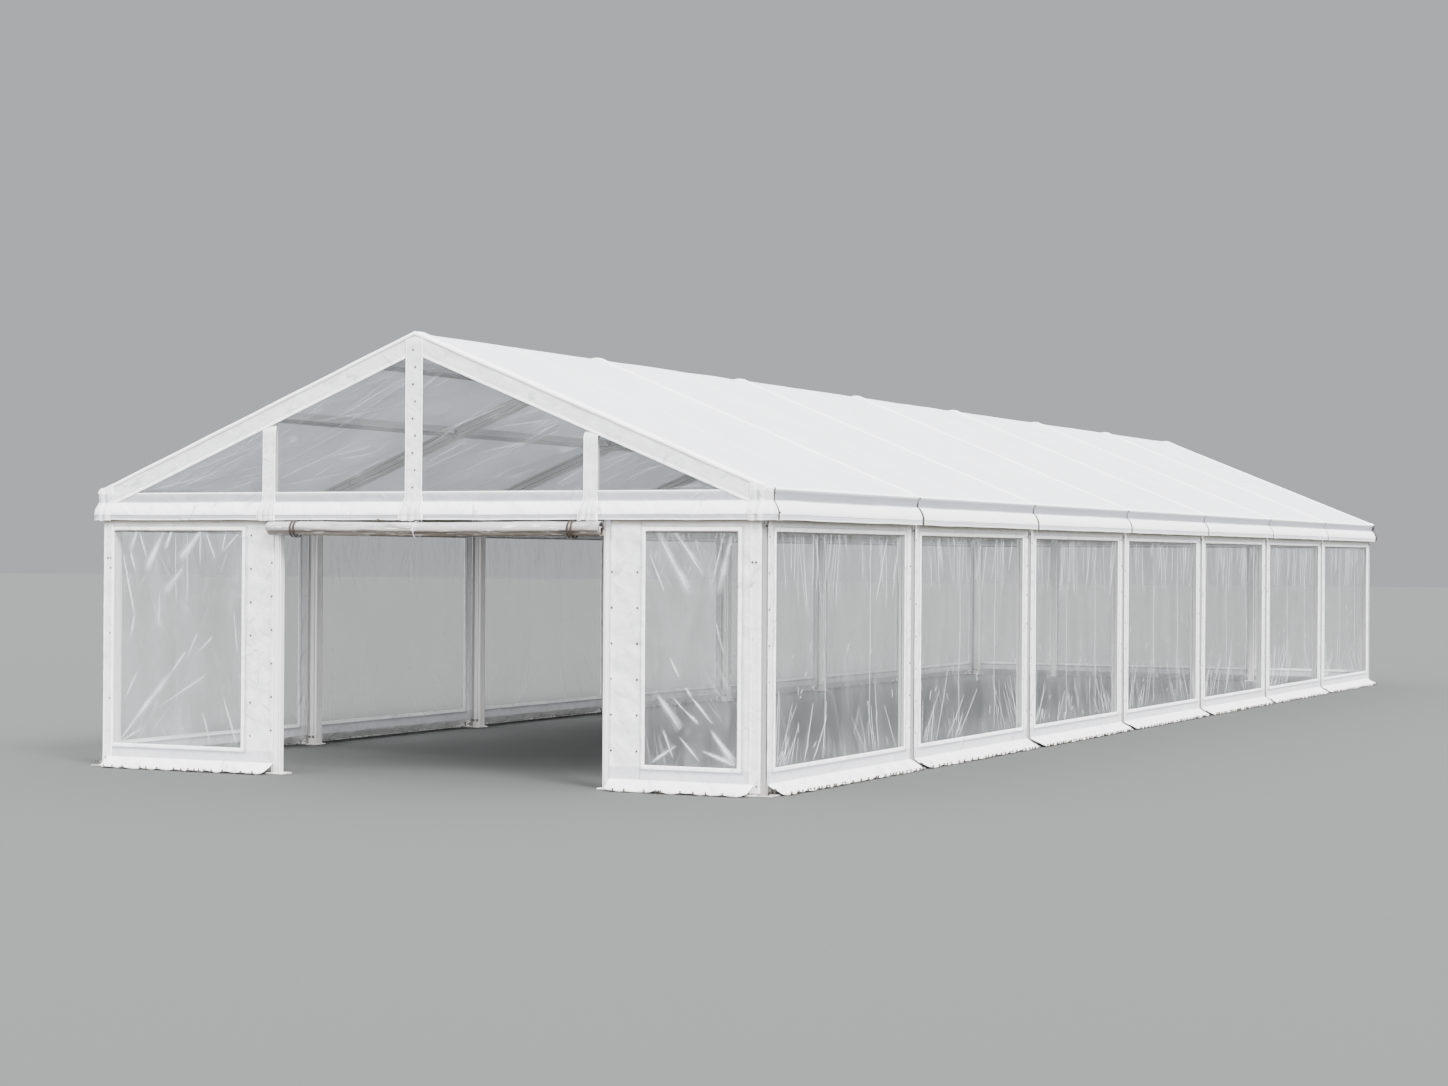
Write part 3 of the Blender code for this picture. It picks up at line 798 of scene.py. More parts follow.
@dataclass(frozen=True)
class Extrusion(Finish):
    """Mill-finished aluminium with drawn streaks and scuffs, and painted shade on outer faces, under the roof
    and in the grooves.
    """

    name: str = "frame_extrusion"
    light: Colour = (0.90, 0.89, 0.88)
    dark: Colour = (0.82, 0.80, 0.79)
    # Painted shade on the legs' outer faces, which stand back between the wall panels' borders, and on what
    # stands out past them.
    painted_outer_shade: Colour = (0.33, 0.32, 0.325)
    soil: Colour = (0.36, 0.32, 0.26)
    # Painted shade on the frames above the eaves, under the roof.
    painted_roof_shade: Colour = (0.46, 0.45, 0.44)
    # Painted shade in the keder grooves, darker still above the eaves.
    groove: Colour = (0.36, 0.32, 0.29)
    deep: Colour = (0.03, 0.027, 0.024)
    metallic: float = 0.12
    roughness: tuple[float, float] = (0.36, 0.54)
    along_bar: bool = True

    def draw(self, sheet: NodeSheet, shader: bpy.types.Node) -> None:
        """Draw the metal's colour, streaks and scuffs, and the painted shade of bars that run along."""
        way = sheet.flat_place() if self.along_bar else sheet.object_place()
        marks = sheet.use(Scratch(), Drawn_along=sheet.stretched(way, (1.0, 0.03, 1.0)), Blotch_density=5.0,
                          Streak_density=85.0)
        streak = marks["Streak"]
        colour = sheet.blend(sheet.spread(streak, 0.35, 0.65), self.light, self.dark)
        if self.along_bar:
            across, _, height = sheet.parts(sheet.object_place())[:3]
            # Painted shade out past the legs' outer faces, above the eaves and in the grooves.
            outside = sheet.spread(sheet.math("ABSOLUTE", across), 2.975, 2.985)
            colour = sheet.blend(outside, colour, self.painted_outer_shade)
            under_roof = sheet.spread(height, 2.16, 2.26)
            colour = sheet.blend(sheet.times(under_roof, 0.92), colour, self.painted_roof_shade)
            colour = sheet.blend(sheet.mask("groove"), colour,
                                 sheet.blend(under_roof, self.groove, self.deep))
        colour = sheet.blend(sheet.times(marks["Scuff"], 0.4), colour, self.soil)
        grime = sheet.use(Grime(), Patch_size=0.5, Splash_height=0.2, Amount=0.45)
        sheet.dress(shader, Base_Color=sheet.blend(grime[0], colour, self.soil), Metallic=self.metallic,
                    Roughness=sheet.spread(streak, 0.3, 0.7, *self.roughness),
                    Normal=sheet.bump(streak, 0.0004, 0.3))


@dataclass(frozen=True)
class RolledFilm(Finish):
    """Clear film in many layers: milky, with beige and grey streaks along the roll, painted light on top,
    painted shade below, painted glints and painted shade in its inner turns.
    """

    name: str = "rolled_film"
    # Painted light on the roll's top and painted brown shade on its underside.
    light: Colour = (0.40, 0.395, 0.42)
    low: Colour = (0.22, 0.18, 0.14)
    dark: Colour = (0.10, 0.08, 0.065)
    # Painted glints along the roll.
    painted_glint: Colour = (0.93, 0.93, 0.92)
    # Painted shade in the roll's inner turns.
    painted_hollow_shade: Colour = (0.030, 0.025, 0.022)
    # Heights across which the painted shade below turns into the painted light on top.
    heights: tuple[float, float] = (1.925, 2.02)

    def draw(self, sheet: NodeSheet, shader: bpy.types.Node) -> None:
        """Draw the layers' streaks, the painted light, shade and glints, and the gloss."""
        place = sheet.object_place()
        long_way = sheet.stretched(place, (0.12, 1.0, 1.0))
        streak = sheet.spread(sheet.noise(long_way, 26.0, 3.0, 0.55), 0.53, 0.63)
        painted_glint = sheet.spread(sheet.noise(long_way, 60.0, 2.0, 0.5), 0.60, 0.66)
        # Painted light on top and painted shade below, by height.
        colour = sheet.blend(sheet.spread(sheet.parts(place)[2], *self.heights), self.low, self.light)
        for share, shade in ((sheet.times(streak, 0.7), self.dark), (sheet.times(painted_glint, 0.5), self.painted_glint),
                             (sheet.mask("inside"), self.painted_hollow_shade)):
            colour = sheet.blend(share, colour, shade)
        sheet.dress(shader, Base_Color=colour, Roughness=sheet.spread(streak, 0.0, 1.0, 0.16, 0.34),
                    Coat_Weight=0.4,
                    Coat_Roughness=0.12, Normal=sheet.bump(streak, 0.004, 0.5))


@dataclass(frozen=True)
class Webbing(Finish):
    """Dark woven strap."""

    name: str = "dark_webbing"
    light: Colour = (0.050, 0.034, 0.025)
    dark: Colour = (0.015, 0.011, 0.009)
    dust: Colour = (0.16, 0.13, 0.10)

    def draw(self, sheet: NodeSheet, shader: bpy.types.Node) -> None:
        """Draw the weave and its dust."""
        threads = sheet.use(Scrim(), Thread_spacing=0.0022)
        weave = sheet.spread(threads[0], -0.8, 0.8)
        grime = sheet.use(Grime(), Patch_size=0.08, Splash_height=0.1, Amount=0.5)
        colour = sheet.blend(grime[0], sheet.blend(weave, self.dark, self.light), self.dust)
        sheet.dress(shader, Base_Color=colour, Roughness=0.85, Normal=sheet.bump(weave, 0.0006, 0.8))


@dataclass(frozen=True)
class Plated(Finish):
    """Plated steel of bolts, pins and pegs, dulled and a little rusty."""

    name: str = "plated_steel"
    light: Colour = (0.42, 0.42, 0.42)
    dark: Colour = (0.16, 0.15, 0.14)
    rust: Colour = (0.20, 0.10, 0.05)
    rust_share: float = 0.25

    def draw(self, sheet: NodeSheet, shader: bpy.types.Node) -> None:
        """Draw the plating, its duller patches and rust."""
        place = sheet.object_place()
        marks = sheet.use(Scratch(), Drawn_along=place, Blotch_density=30.0, Streak_density=300.0)
        dull = sheet.spread(sheet.noise(place, 90.0, 3.0, 0.6), 0.35, 0.65)
        spot = sheet.times(sheet.spread(sheet.noise(place, 55.0, 4.0, 0.7), 0.52, 0.62), self.rust_share)
        sheet.dress(shader, Base_Color=sheet.blend(spot, sheet.blend(dull, self.light, self.dark), self.rust),
                    Metallic=0.85, Roughness=sheet.spread(marks["Scuff"], 0.0, 1.0, 0.35, 0.6))


WHITE = CoatedSheet()
ROOF_WHITE = CoatedSheet(name="roof_tarpaulin", light=(0.70, 0.71, 0.745), shade=(0.63, 0.64, 0.67),
                         bright=(0.99, 0.98, 0.955), painted_crest_shade_share=0.15, wrinkle_wave=0.45, wrinkle_depth=0.02,
                         wrinkle_strength=0.6, soil_amount=0.2, glow=0.6, lying=True)
WALL_FILM = ClearFilm()
CORNER_FILM = ClearFilm(name="corner_film", fan=0.55, density=9.0, gather=0.8, facets=0.6, haze=0.12)
GABLE_FILM = ClearFilm(name="gable_film", lean=1.2, fan=0.2, density=8.0, gather=0.4, haze=0.07,
                       see_through=(0.04, 0.55))
FRAME_METAL = Extrusion()
PURLIN_METAL = Extrusion(name="purlin_extrusion", light=(0.86, 0.85, 0.86), dark=(0.76, 0.75, 0.76),
                         along_bar=False)
ROLLED = RolledFilm()
STRAP = Webbing()
STEEL = Plated()
DARK_STEEL = Plated(name="dark_fittings", light=(0.16, 0.15, 0.14), dark=(0.05, 0.045, 0.04),
                    rust_share=0.4)


# Fittings by geometry nodes


class FittingTree(ABC):
    """Geometry nodes that set one fitting at every point of a carrier mesh, turned as the point says."""

    name: str = ""
    sizes: dict[str, float] = {}
    seed: int = 7

    def tree(self) -> bpy.types.NodeTree:
        """The node tree, made at its first use."""
        known = bpy.data.node_groups.get(self.name)
        if known:
            return known
        sheet = start_tree(self.name, "GeometryNodeTree", [
            ("Places", "INPUT", "Geometry", None), ("Finish", "INPUT", "Material", None),
            *((name, "INPUT", "Float", value) for name, value in self.sizes.items()),
            ("Spin", "INPUT", "Float", math.pi), ("Fittings", "OUTPUT", "Geometry", None)])
        entry = sheet.add("NodeGroupInput").outputs
        turn = sheet.add("GeometryNodeInputNamedAttribute", {"Name": "turn"},
                         data_type="FLOAT_VECTOR").outputs[0]
        facing = sheet.add("FunctionNodeEulerToRotation", {0: turn}).outputs[0]
        chance = sheet.add("FunctionNodeRandomValue", data_type="FLOAT")
        for name, value in (("Min", 0.0), ("Seed", self.seed), ("Max", entry["Spin"])):
            sheet.feed(next(s for s in chance.inputs if s.name == name and s.enabled), value)
        angle = next(s for s in chance.outputs if s.enabled)
        own = sheet.add("FunctionNodeEulerToRotation", {0: sheet.vector(0.0, 0.0, angle)}).outputs[0]
        both = sheet.add("FunctionNodeRotateRotation", {0: facing, 1: own}, rotation_space="LOCAL").outputs[0]
        placed = sheet.add("GeometryNodeInstanceOnPoints",
                           {"Points": entry["Places"], "Instance": self.shape(sheet, entry),
                            "Rotation": both})
        whole = sheet.add("GeometryNodeRealizeInstances", {0: placed.outputs[0]}).outputs[0]
        finished = sheet.add("GeometryNodeSetMaterial",
                             {"Geometry": whole, "Material": entry["Finish"]}).outputs[0]
        sheet.add("NodeGroupOutput", {0: finished})
        return sheet.tree

    @abstractmethod
    def shape(self, sheet: NodeSheet, entry: Outputs) -> Socket:
        """Draw the nodes of one fitting, whose own Z points out of what carries it.

        Args:
            sheet: The tree.
            entry: The tree's inputs.

        Returns:
            The fitting's geometry.
        """

    @staticmethod
    def joined(sheet: NodeSheet, *parts: Socket) -> Socket:
        """Join several shapes into one geometry."""
        node = sheet.add("GeometryNodeJoinGeometry")
        for part in parts:
            sheet.feed(node.inputs[0], part)
        return node.outputs[0]

    @staticmethod
    def moved(sheet: NodeSheet, part: Socket, height: object) -> Socket:
        """Lift a shape along its own Z."""
        lift = sheet.vector(0.0, 0.0, height)
        return sheet.add("GeometryNodeTransform", {"Geometry": part, "Translation": lift}).outputs[0]

    @staticmethod
    def cylinder(sheet: NodeSheet, vertices: int, radius: object, depth: object) -> Socket:
        """Draw an upright cylinder about its own middle."""
        return sheet.dress(sheet.add("GeometryNodeMeshCylinder"), Vertices=vertices, Radius=radius,
                           Depth=depth).outputs[0]

    def mesh(self, name: str, places: Array, turns: Array, finish: Finish, spin: float = math.pi,
             **sizes: float) -> bpy.types.Mesh:
        """Set the fittings and give them as one plain mesh.

        Args:
            name: The mesh's name.
            places: The fittings' places, n by 3.
            turns: Their turns, n by 3.
            finish: Their finish.
            spin: How far each may be turned about its own Z, at random.
            **sizes: Sizes other than the tree's own, whose names have _ for a space.

        Returns:
            The mesh.
        """
        carrier_mesh = bpy.data.meshes.new("carrier")
        carrier_mesh.from_pydata(np.asarray(places, float).tolist(), [], [])
        attribute = carrier_mesh.attributes.new("turn", "FLOAT_VECTOR", "POINT")
        attribute.data.foreach_set("vector", np.asarray(turns, np.float32).ravel())
        carrier = bpy.data.objects.new("carrier", carrier_mesh)
        bpy.context.scene.collection.objects.link(carrier)
        modifier = carrier.modifiers.new("fittings", "NODES")
        tree = self.tree()
        modifier.node_group = tree
        known = {item.name: item.identifier for item in tree.interface.items_tree if item.in_out == "INPUT"}
        modifier[known["Finish"]] = finish.material()
        modifier[known["Spin"]] = spin
        for key, value in sizes.items():
            modifier[known[key.replace("_", " ")]] = value
        bpy.context.view_layer.update()
        evaluated = carrier.evaluated_get(bpy.context.evaluated_depsgraph_get())
        mesh = bpy.data.meshes.new_from_object(evaluated)
        carrier.modifiers.remove(modifier)
        bpy.data.objects.remove(carrier)
        mesh.name = name
        mesh.shade_smooth()
        mesh.set_sharp_from_angle(angle=SMOOTH_ANGLE)
        return mesh


class EyeletTree(FittingTree):
    """A pressed ring with a dark barrel in its middle."""

    name = "eyelet"
    sizes = {"Ring radius": 0.0075, "Ring thickness": 0.0022}

    def shape(self, sheet: NodeSheet, entry: Outputs) -> Socket:
        """Draw a ring and the barrel that it holds."""
        path, profile = (sheet.add("GeometryNodeCurvePrimitiveCircle",
                                   {"Resolution": count, "Radius": entry[size]})
                         for count, size in ((12, "Ring radius"), (6, "Ring thickness")))
        ring = sheet.add("GeometryNodeCurveToMesh", {0: path.outputs[0], 1: profile.outputs[0]}).outputs[0]
        return self.joined(sheet, ring,
                           self.cylinder(sheet, 10, entry["Ring radius"], entry["Ring thickness"]))


class BoltTree(FittingTree):
    """A hexagon head on a washer."""

    name = "bolt"
    sizes = {"Head radius": 0.010, "Head height": 0.007, "Washer radius": 0.014}

    def shape(self, sheet: NodeSheet, entry: Outputs) -> Socket:
        """Draw the washer and the head on it."""
        washer = self.cylinder(sheet, 14, entry["Washer radius"], 0.003)
        head = self.cylinder(sheet, 6, entry["Head radius"], entry["Head height"])
        return self.joined(sheet, washer, self.moved(sheet, head, sheet.times(entry["Head height"], 0.6)))


class PegTree(FittingTree):
    """A ground peg: its mushroom head and the stub of rod that stands out of the plate."""

    name = "peg"
    sizes = {"Rod radius": 0.008, "Stub height": 0.035, "Head radius": 0.016}

    def shape(self, sheet: NodeSheet, entry: Outputs) -> Socket:
        """Draw the rod and the sloping head on it."""
        rod = self.cylinder(sheet, 12, entry["Rod radius"], entry["Stub height"])
        half = sheet.times(entry["Stub height"], 0.5)
        head = sheet.add("GeometryNodeMeshCone", {"Vertices": 12, "Radius Top": entry["Rod radius"],
                                                  "Radius Bottom": entry["Head radius"],
                                                  "Depth": 0.008}).outputs[0]
        return self.joined(sheet, self.moved(sheet, rod, half), self.moved(sheet, head, entry["Stub height"]))


class PurlinTree(FittingTree):
    """One purlin as an extruded bar with rounded edges, along its own Z."""

    name = "purlin"
    sizes = {"Bar length": 2.9, "Bar width": 0.05, "Bar depth": 0.08, "Edge radius": 0.006}

    def shape(self, sheet: NodeSheet, entry: Outputs) -> Socket:
        """Draw a rounded rectangle and carry it along the bar."""
        outline = sheet.add("GeometryNodeCurvePrimitiveQuadrilateral",
                            {"Width": entry["Bar width"], "Height": entry["Bar depth"]}).outputs[0]
        rounded = sheet.add("GeometryNodeFilletCurve",
                            {"Curve": outline, "Radius": entry["Edge radius"], "Count": 3},
                            mode="POLY").outputs[0]
        end = sheet.vector(0.0, 0.0, entry["Bar length"])
        line = sheet.add("GeometryNodeCurvePrimitiveLine", {"End": end}).outputs[0]
        return sheet.add("GeometryNodeCurveToMesh", {0: line, 1: rounded, "Fill Caps": True}).outputs[0]


@dataclass
class Fittings:
    """Places of one kind of fitting, gathered while the tent is built and set at the end."""

    name: str
    tree: FittingTree
    finish: Finish
    sizes: dict[str, float]
    places: list[Array] = field(default_factory=list)
    turns: list[Array] = field(default_factory=list)

    def add(self, places: Array, turn: Sequence[float]) -> None:
        """Add fittings that share a turn."""
        places = np.asarray(places, float).reshape(-1, 3)
        self.places.append(places)
        self.turns.append(np.broadcast_to(np.asarray(turn, float), places.shape))

    def build(self) -> bpy.types.Object:
        """Set them all as one piece."""
        mesh = self.tree.mesh(self.name, np.concatenate(self.places), np.concatenate(self.turns), self.finish,
                              **self.sizes)
        return settle(self.name, mesh, self.finish)


def fittings_field(name: str, tree: FittingTree, finish: Finish, **sizes: float) -> Fittings:
    """A kind of fitting that a kit starts without places."""
    return field(default_factory=lambda: Fittings(name, tree, finish, sizes))


@dataclass
class Kit:
    """All small fittings of the tent."""

    eyelets: Fittings = fittings_field("wall_eyelets", EyeletTree(), DARK_STEEL)
    bolts: Fittings = fittings_field("frame_bolts", BoltTree(), STEEL)
    pins: Fittings = fittings_field("cover_pins", BoltTree(), DARK_STEEL, Head_radius=0.006,
                                    Head_height=0.012,
                                    Washer_radius=0.009)
    pegs: Fittings = fittings_field("ground_pegs", PegTree(), DARK_STEEL)
    hem_pegs: Fittings = fittings_field("hem_pegs", PegTree(), DARK_STEEL, Rod_radius=0.005,
                                        Stub_height=0.022,
                                        Head_radius=0.010)

    def build(self) -> None:
        """Set every kind."""
        for fittings in (self.eyelets, self.bolts, self.pins, self.pegs, self.hem_pegs):
            fittings.build()


@dataclass
class Part(ABC):
    """A sub-assembly of the tent."""

    tent: Tent
    kit: Kit

    @abstractmethod
    def build(self) -> None:
        """Build its pieces."""


# Frames


@dataclass
class Section:
    """Outline of an extruded bar with a keder groove near each edge, as shares of its width and depth."""

    width: float
    depth: float
    groove_width: float = 0.007
    groove_depth: float = 0.012
    groove_inset: float = 0.014
    edge: float = 0.004
    side_grooves: bool = True

    def face(self, half: float) -> list[tuple[float, float]]:
        """One face from its left edge to its right: places across it and depths below it."""
        groove = half - self.groove_inset
        points = [(-half, self.edge), (self.edge - half, 0.0)]
        for middle in (-groove, groove):
            points += self.groove(middle, self.groove_depth)
        return [*points, (half - self.edge, 0.0)]

    def groove(self, middle: float, depth: float) -> list[tuple[float, float]]:
        """One groove: places along the face and depths below it."""
        low, high = middle - self.groove_width / 2, middle + self.groove_width / 2
        return [(low, 0.0), (low, depth), (high, depth), (high, 0.0)]

    def outline(self) -> Array:
        """The outline: across from -width/2 to width/2, and depth from 0 at the outer face."""
        half = self.width / 2
        outer = self.face(half)
        side = [(half, self.edge)]
        if self.side_grooves:
            for middle in (0.26 * self.depth, 0.74 * self.depth):
                side += [(half - depth, place)
                         for place, depth in self.groove(middle, 0.7 * self.groove_depth)]
        side += [(half, self.depth - self.edge)]
        points = [*outer, *side]
        points += [(across, self.depth - depth) for across, depth in reversed(outer[1:])]
        points += [(-across, depth) for across, depth in reversed(side)][:-1]
        return np.array(points)

    def sunk(self, outline: Array) -> Array:
        """One at the outline's points that lie in a groove, and 0 elsewhere."""
        from_edge = np.minimum(outline[:, 1], self.depth - outline[:, 1])
        from_side = self.width / 2 - np.abs(outline[:, 0])
        return ((from_edge > 0.006) & (from_side > 0.006)).astype(float)


@dataclass
class PortalFrames(Part):
    """Eight portal frames: grooved legs and rafters in one run, base shoes, bolts and pegs."""

    plate_thickness: float = 0.012
    plate_width: float = 0.18
    plate_out: float = 0.10
    plate_in: float = 0.015
    shoe_height: float = 0.10
    shoe_thickness: float = 0.005

    def profile(self, draft: Draft, number: int) -> None:
        """Carry the section up a leg, along both rafters and down the other leg."""
        tent = self.tent
        inner_x = tent.half_span - tent.member_depth
        foot = self.plate_thickness / 2
        outer = [(tent.half_span, foot), (tent.half_span, tent.rafter_top(tent.half_span)),
                 (0.0, tent.rafter_top(0.0))]
        inner = [(inner_x, foot), (inner_x, tent.rafter_foot(inner_x)), (0.0, tent.rafter_foot(0.0))]
        outer += [(-x, z) for x, z in reversed(outer[:-1])]
        inner += [(-x, z) for x, z in reversed(inner[:-1])]
        bar = Section(tent.frame_width, tent.member_depth)
        section = bar.outline()
        share = section[:, 1:] / tent.member_depth
        rings = []
        for far, near in zip(outer, inner):
            place = np.array(far) + (np.array(near) - np.array(far)) * share
            across = tent.frame_y(number) + section[:, 0]
            rings.append(np.stack([place[:, 0], across, place[:, 1]], axis=-1))
        draft.loft(rings[::-1], {"groove": np.tile(bar.sunk(section), len(rings))})

    def shoe(self, draft: Draft, number: int, hand: int) -> None:
        """Add a base plate with two cheeks, its bolts and its pegs."""
        tent = self.tent
        y = tent.frame_y(number)
        reach = sorted((hand * (tent.half_span - tent.member_depth - self.plate_in),
                        hand * (tent.half_span + self.plate_out)))
        half = self.plate_width / 2
        draft.box((reach[0], y - half, 0.0), (reach[1], y + half, self.plate_thickness), 0.003)
        legs = sorted((hand * (tent.half_span - tent.member_depth + 0.004), hand * (tent.half_span + 0.012)))
        for side in (-1, 1):
            face = y + side * tent.frame_width / 2
            cheek = face + side * self.shoe_thickness
            low, high = sorted((face, cheek))
            draft.box((legs[0], low, self.plate_thickness), (legs[1], high, self.shoe_height), 0.0015)
            bolts = [(hand * (tent.half_span - away), cheek, 0.075) for away in (0.03, 0.07)]
            self.kit.bolts.add(np.array(bolts), (-side * math.pi / 2, 0.0, 0.0))
        pegs = [(hand * (tent.half_span + 0.065), y + side * 0.055, self.plate_thickness) for side in (-1, 1)]
        self.kit.pegs.add(np.array(pegs), (0.0, hand * 0.18, 0.0))

    def corner_bolts(self, number: int, hand: int) -> None:
        """Bolt the eave corner and the ridge on both faces."""
        tent = self.tent
        y = tent.frame_y(number)
        eave = tent.rafter_foot(tent.half_span - tent.member_depth)
        places = [(hand * (tent.half_span - 0.05), eave - drop) for drop in (0.09, 0.22)]
        for x in (tent.half_span - 0.28, tent.half_span - 0.45, 0.10, 0.26):
            places.append((hand * x, (tent.rafter_top(x) + tent.rafter_foot(x)) / 2))
        for side in (-1, 1):
            if (number == 0 and side < 0) or (number == tent.bay_count and side > 0):
                continue
            face = y + side * tent.frame_width / 2
            self.kit.bolts.add(np.array([(x, face, z) for x, z in places]), (-side * math.pi / 2, 0.0, 0.0))

    def build(self) -> None:
        """Build the eight frames."""
        for number in range(self.tent.bay_count + 1):
            draft = Draft()
            self.profile(draft, number)
            for hand in (-1, 1):
                self.shoe(draft, number, hand)
                self.corner_bolts(number, hand)
            node = f"portal_frame_{number + 1}"
            settle(f"{node}_extrusion", draft, FRAME_METAL, [node])


@dataclass
class Purlins(Part):
    """Seven purlin lines of seven bars each, hooked over the rafters by brackets."""

    width: float = 0.05
    depth: float = 0.08
    mid: float = 1.45
    upper: float = 0.45
    bracket_length: float = 0.045
    bracket_wall: float = 0.004
    rail_height: float = 0.012
    end_gap: float = 0.0005

    def lines(self) -> list[tuple[str, float, float, float]]:
        """Name, place across, tilt and top height of each line."""
        tent = self.tent
        eave = tent.half_span - self.width / 2
        found = [("purlins_ridge", 0.0, 0.0, tent.rafter_top(self.width / 2))]
        for word, hand in (("left", -1), ("right", 1)):
            found.append((f"purlins_eave_{word}", hand * eave, 0.0, tent.rafter_top(tent.half_span)))
            for place, offset in (("mid", self.mid), ("upper", self.upper)):
                found.append((f"purlins_{place}_{word}", hand * offset, -hand * tent.pitch,
                              tent.rafter_top(offset)))
        return found

    def bracket(self) -> list[tuple[float, float]]:
        """Outline of a saddle under one end of a bar: a floor and two cheeks with a lip over the rafter."""
        half, lip, floor = self.width / 2 + self.bracket_wall, -0.022, -self.depth - 0.014
        inner = half - self.bracket_wall
        return [(-half, lip), (-half, floor), (half, floor), (half, lip), (inner, lip),
                (inner, floor + 0.006),
                (-inner, floor + 0.006), (-inner, lip)]

    def rail(self) -> list[tuple[float, float]]:
        """Outline of the dark keder rail along the underside of a bar."""
        half, top, foot = self.width / 2 + 0.0015, self.rail_height - self.depth, -self.depth - 0.002
        return [(-half, top), (-half, foot), (half, foot), (half, top)]

    def build(self) -> None:
        """Build the lines, one piece each, with their brackets."""
        tent = self.tent
        tree = PurlinTree()
        turn_along = Matrix.Rotation(-math.pi / 2, 3, "X")
        starts = [tent.frame_y(bay) + tent.frame_width / 2 + self.end_gap for bay in range(tent.bay_count)]
        length = tent.bay - tent.frame_width - 2 * self.end_gap
        for name, offset, tilt, top in self.lines():
            across = Vector((math.cos(tilt), 0.0, math.sin(tilt)))
            normal = Vector((-math.sin(tilt), 0.0, math.cos(tilt)))
            spine = Vector((offset, 0.0, top))
            middle = spine - normal * (self.depth / 2)
            places = np.array([(middle.x, y, middle.z) for y in starts])
            turn = Matrix.Rotation(-tilt, 3, "Y") @ turn_along
            mesh = tree.mesh(name, places, np.broadcast_to(np.array(turn.to_euler()), places.shape),
                             PURLIN_METAL, 0.0,
                             Bar_length=length, Bar_width=self.width, Bar_depth=self.depth)
            settle(f"{name}_bars", mesh, PURLIN_METAL, [name])
            draft = Draft()
            for start in starts:
                low, high = start + 0.001, start + length - 0.001
                spans = [(self.rail(), low, high)]
                spans += [(self.bracket(), y, y + self.bracket_length)
                          for y in (low, high - self.bracket_length)]
                for outline, *ends in spans:
                    draft.loft([np.array([tuple(spine + Vector((0.0, y, 0.0)) + across * a + normal * b)
                                          for a, b in outline]) for y in ends])
                for y in (low, high - self.bracket_length):
                    for side in (-1, 1):
                        place = spine + across * (side * (self.width / 2 + self.bracket_wall)) - normal * 0.05
                        spot = np.array([(place.x, y + self.bracket_length / 2, place.z)])
                        self.kit.pins.add(spot, (0.0, side * math.pi / 2 - tilt, 0.0))
            settle(f"{name}_brackets", draft, STEEL)


# Covers


# Heights of grid lines where the painted shadow under the roof's hem changes.
HEM_SHADOW_LINES = (2.006, 2.022, 2.036, 2.06)


def painted_hem_shadow(height: Array) -> Array:
    """Painted shadow on a wall cloth just under the roof's hem, by height."""
    return 0.85 * smooth_step((height - 2.018) / 0.012) + 0.35 * smooth_step((height - 1.99) / 0.03)


def hang(name: str, points: Array, masks: dict[str, Array], wall: float, stands_for: Sequence[str] = (),
         finish: Finish = WHITE, keep: Array | None = None, **declared: object) -> bpy.types.Object:
    """Args:
        name: The piece's name.
        points: The grid of points.
        masks: Values at the points, by name.
        wall: The sheet's thickness.
        stands_for: The solids that the piece replaces.
        finish: Its finish.
        keep: The cells to make, all of them by default.
        **declared: What is said of the sheet: its flat size, how it is held and what it rests on. Not used.

    Returns:
        The piece's object.
    """
    draft = Draft()
    draft.grid(points, keep, masks)
    item = settle(name, draft, finish, stands_for, wall)
    return item


